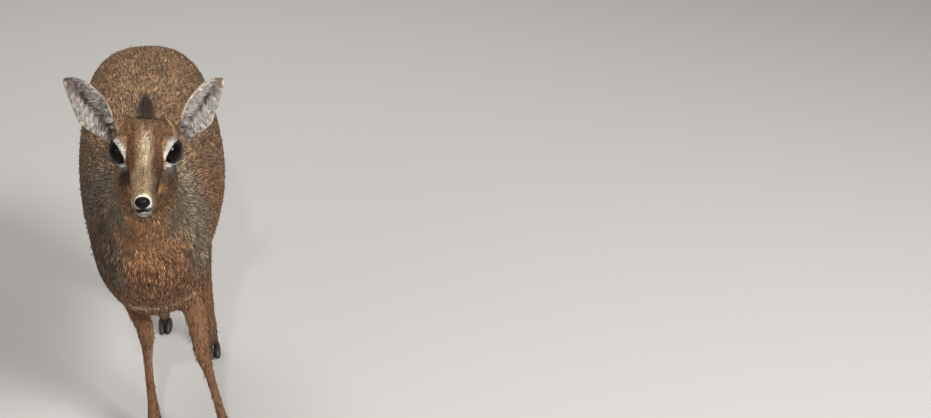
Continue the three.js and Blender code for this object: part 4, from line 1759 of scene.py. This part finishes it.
@dataclass
class Eyes:
    """The eyeballs with their bulging corneas, and the lids' bare margins."""

    frames: list[EyeFrame]
    rows: int = 48
    cornea: float = 0.9
    margin: float = 0.62
    margin_lift: float = 0.35

    def build(self) -> None:
        """Makes both eyes."""
        wet, bare = EYE_FINISH.build(), LID_FINISH.build()
        for eye, side in zip(self.frames, SIDES):
            points, faces = ball(self.rows, self.rows * 2)
            out = eye.radius + self.cornea * smooth_step(points[:, 2], 0.55, 0.95)
            placed = eye.world(points * out[:, None])
            faces = faced_out(placed - placed.mean(axis=0), faces)
            make_piece(f"eyeball_{side}", placed, faces, wet, "eye", f"eye_{side}")
            line = eye.rim(96)
            line = line + unit(line) * self.margin_lift
            make_piece(f"lid_margin_{side}", *tube(eye.world(line), self.margin, 8), bare, "eye")


@dataclass
class Lashes:
    """The lashes of the upper lids, grown by geometry nodes on points along the lids' edges."""

    frames: list[EyeFrame]
    count: int = 46
    length: float = 5.2
    thickness: float = 0.3
    seed: int = 5

    def build(self) -> None:
        """Makes the lashes of both eyes."""
        finish = LASH_FINISH.build()
        for eye, side in zip(self.frames, SIDES):
            self.fringe(eye, f"lashes_{side}", finish)

    def fringe(self, eye: EyeFrame, name: str, finish: bpy.types.Material) -> None:
        """The lashes of one eye, longest towards its outer corner.

        Args:
            eye: The eye.
            name: The piece's name.
            finish: The lashes' material.
        """
        random = np.random.default_rng(self.seed)
        rim = eye.rim(240)
        upper = rim[(rim[:, 1] > 0.5) & (rim[:, 0] < 5.0)]
        outer = rim[(rim[:, 1] <= 0.5) & (rim[:, 0] < -4.0)]
        line = np.concatenate([upper, outer])
        roots = line[np.linspace(0, len(line) - 1, self.count).astype(int)]
        ways = unit(roots * np.array([0.9, 1.0, 0.0])) * 0.75 + np.array([-0.45, 0.1, 0.6])
        ways = unit(ways + random.normal(0, 0.1, ways.shape))
        size = np.interp(roots[:, 0], [-11.0, -4.0, 5.0], [1.0, 0.8, 0.35])
        size *= random.uniform(0.75, 1.1, len(roots))
        size *= np.where(roots[:, 1] > 0.5, 1.0, 0.55)
        base = bpy.data.meshes.new(name + "_roots")
        base.from_pydata([tuple(p) for p in eye.world(roots * 1.02) * MM], [], [])
        heading = (eye.world(roots + ways) - eye.world(roots)).astype(np.float32)
        base.attributes.new("way", "FLOAT_VECTOR", "POINT").data.foreach_set("vector", heading.ravel())
        base.attributes.new("size", "FLOAT", "POINT").data.foreach_set("value", size.astype(np.float32))
        grower = bpy.data.objects.new(name + "_roots", base)
        bpy.context.scene.collection.objects.link(grower)
        tree, sockets = self.tree(finish)
        modifier = grower.modifiers.new("lashes", "NODES")
        modifier.node_group = tree
        modifier[sockets["Length"]] = self.length * MM
        modifier[sockets["Thickness"]] = self.thickness * MM
        grown = grower.evaluated_get(bpy.context.evaluated_depsgraph_get())
        mesh = bpy.data.meshes.new_from_object(grown)
        bpy.data.objects.remove(grower)
        mesh.name = name
        made = bpy.data.objects.new(name, mesh)
        bpy.context.scene.collection.objects.link(made)
        settle(made, "eye")

    def tree(self, finish: bpy.types.Material) -> tuple[bpy.types.NodeTree, dict[str, str]]:
        """The nodes that set a tapered hair on each point.

        Args:
            finish: The hairs' material.

        Returns:
            The tree, and the identifiers of its inputs by name.
        """
        tree = bpy.data.node_groups.new("lash_fringe", "GeometryNodeTree")
        link = tree.links.new
        face = tree.interface
        face.new_socket("Geometry", in_out="INPUT", socket_type="NodeSocketGeometry")
        face.new_socket("Geometry", in_out="OUTPUT", socket_type="NodeSocketGeometry")
        sockets = {}
        for label in ("Length", "Thickness"):
            socket = face.new_socket(label, in_out="INPUT", socket_type="NodeSocketFloat")
            sockets[label] = socket.identifier
        start, end = tree.nodes.new("NodeGroupInput"), tree.nodes.new("NodeGroupOutput")
        hair = add_node(tree, "GeometryNodeMeshCone", Vertices=5, Side_Segments=3)
        link(start.outputs["Length"], hair.inputs["Depth"])
        link(start.outputs["Thickness"], hair.inputs["Radius Bottom"])
        way, size = (add_node(tree, "GeometryNodeInputNamedAttribute", Name=n) for n in ("way", "size"))
        way.data_type = "FLOAT_VECTOR"
        turn = tree.nodes.new("FunctionNodeAlignRotationToVector")
        turn.axis = "Z"
        link(way.outputs["Attribute"], turn.inputs["Vector"])
        spread = tree.nodes.new("GeometryNodeInstanceOnPoints")
        link(start.outputs["Geometry"], spread.inputs["Points"])
        link(hair.outputs["Mesh"], spread.inputs["Instance"])
        link(turn.outputs["Rotation"], spread.inputs["Rotation"])
        link(size.outputs["Attribute"], spread.inputs["Scale"])
        real = tree.nodes.new("GeometryNodeRealizeInstances")
        link(spread.outputs["Instances"], real.inputs["Geometry"])
        dressed = add_node(tree, "GeometryNodeSetMaterial", Material=finish)
        link(real.outputs["Geometry"], dressed.inputs["Geometry"])
        link(dressed.outputs["Geometry"], end.inputs["Geometry"])
        return tree, sockets


@dataclass
class NosePad:
    """The bare black pad with its nostrils."""

    nodes: dict
    step: float = 0.4
    swell: float = 0.15

    def build(self) -> None:
        """Makes the pad."""
        points, quads = rounded(self.nodes["nose"], self.step, 2, self.swell)
        make_piece("nose_pad", points, quads, NOSE_FINISH.build(), "nose", "nose")


@dataclass
class Hooves:
    """The two main claws and the two dewclaws of each foot."""

    nodes: dict
    step: float = 0.7
    swell: float = 0.1
    dewclaw_reach: tuple = (2.3, 2.5, 3.6)
    dewclaw_aside: float = 4.7
    dewclaw_sweep: float = 0.25
    dewclaws_at: dict = field(
        default_factory=lambda: {
            "foreleg_right": (-33.0, -45.4, 31.6),
            "foreleg_left": (49.6, -97.9, 31.6),
            "hindleg_right": (-28.8, 212.6, 31.6),
            "hindleg_left": (34.2, 140.6, 31.6),
        }
    )

    def build(self) -> None:
        """Makes all the claws."""
        finish = HORN_FINISH.build()
        for leg in LEGS:
            for side in SIDES:
                node = f"{leg}_claw_{side}"
                points, quads = rounded(self.nodes[node], self.step, 3, self.swell)
                points[:, 2] = np.maximum(points[:, 2], 0.0)
                make_piece(f"{leg}_hoof_{side}", points, quads, finish, "hoof", node)
            for side, way in SIDES.items():
                points, faces = ball(10, 13)
                points *= np.asarray(self.dewclaw_reach)
                points[:, 1] += np.maximum(-points[:, 2], 0) * self.dewclaw_sweep
                points += np.asarray(self.dewclaws_at[leg]) + np.array([way * self.dewclaw_aside, 0, 0])
                make_piece(f"{leg}_dewclaw_{side}", points, faces, finish, "hoof")


# Each light's place in metres, power in watts and side in metres.
LIGHTS = {
    "key": ((1.45, -1.65, 1.95), 100.0, 0.8),
    "catch": ((0.0, -1.3, 1.42), 10.0, 0.07),
    "fill": ((-1.7, -1.6, 1.4), 9.0, 1.5),
    "rim": ((-0.3, 1.7, 2.4), 42.0, 1.4),
}


@dataclass
class Studio:
    """The plain floor, soft lights and the camera at the photo's view."""

    camera_at: tuple = (0.1009, -1.1752, 0.872)
    azimuth: float = 12.0
    pitch: float = -27.6
    lens: float = 44.08
    floor_size: float = 12.0
    floor_colour: tuple = (0.66, 0.65, 0.635)
    world_colour: tuple = (1.0, 0.985, 0.96)
    world_light: float = 0.30
    aim: tuple = (0.0, -0.05, 0.28)

    def build(self) -> None:
        """Makes the floor, the lights, the surroundings and the camera."""
        self.floor()
        for name, (place, power, size) in LIGHTS.items():
            self.light(name, place, power, size)
        self.surroundings()
        self.camera()
        bpy.context.scene.view_settings.view_transform = "Standard"

    def floor(self) -> None:
        """A wide plain floor under the feet."""
        half = self.floor_size / 2 / MM
        corners = np.array([[-half, -half, 0], [half, -half, 0], [half, half, 0], [-half, half, 0]], float)
        made = make_mesh("studio_floor", corners, np.array([[0, 1, 2, 3]]), smooth=False)
        material, shader, _ = start_material("floor")
        shader.inputs["Base Color"].default_value = (*linear(self.floor_colour), 1)
        shader.inputs["Roughness"].default_value = 0.85
        made.data.materials.append(material)

    def light(self, name: str, place: tuple, power: float, size: float) -> None:
        """A square soft light aimed at the animal's chest.

        Args:
            name: The light's name.
            place: Its place in metres.
            power: Its power in watts.
            size: Its side in metres.
        """
        data = bpy.data.lights.new(name, "AREA")
        data.energy = power
        data.size = size
        made = bpy.data.objects.new(name, data)
        made.location = place
        made.rotation_euler = (Vector(self.aim) - Vector(place)).to_track_quat("-Z", "Y").to_euler()
        bpy.context.scene.collection.objects.link(made)

    def surroundings(self) -> None:
        """An even pale light from all round."""
        world = bpy.data.worlds.new("studio")
        world.use_nodes = True
        background = world.node_tree.nodes["Background"]
        background.inputs["Color"].default_value = (*self.world_colour, 1)
        background.inputs["Strength"].default_value = self.world_light
        bpy.context.scene.world = world

    def camera(self) -> None:
        """The photo's viewing angle."""
        data = bpy.data.cameras.new("camera")
        data.lens = self.lens
        data.sensor_width = 36.0
        data.sensor_fit = "HORIZONTAL"
        data.clip_start = 0.01
        made = bpy.data.objects.new("camera", data)
        made.location = self.camera_at
        made.rotation_euler = (math.radians(90.0 + self.pitch), 0.0, math.radians(-self.azimuth))
        bpy.context.scene.collection.objects.link(made)
        bpy.context.scene.camera = made


def main() -> None:
    """Builds every piece, dresses it and sets the studio up."""
    logging.basicConfig(level=logging.INFO, format="%(name)s %(message)s")
    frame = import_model()
    nodes = frame["nodes"]
    head = HeadFrame()
    eyes = [EyeFrame(side, head) for side in SIDES.values()]
    ears = [EarFrame(nodes[f"ear_{side}"]) for side in SIDES]
    markings = Markings(head)
    skin = Skin(nodes, head, eyes, ears=ears)
    skin.build()
    # The skin's colours are darkened to 0.8: painted shade for the shadow of the coat over it.
    skin.dress(markings, HideFinish("hide", 0.9, 0.0, 900.0, 0.0002, 0.8).build())
    Coat(skin, markings, HideFinish("fur", 0.7, 0.03, 700.0, 0.0001).build()).build()
    Eyes(eyes).build()
    Lashes(eyes).build()
    NosePad(nodes).build()
    Hooves(nodes).build()
    Studio().build()


if __name__ == "__main__":
    main()
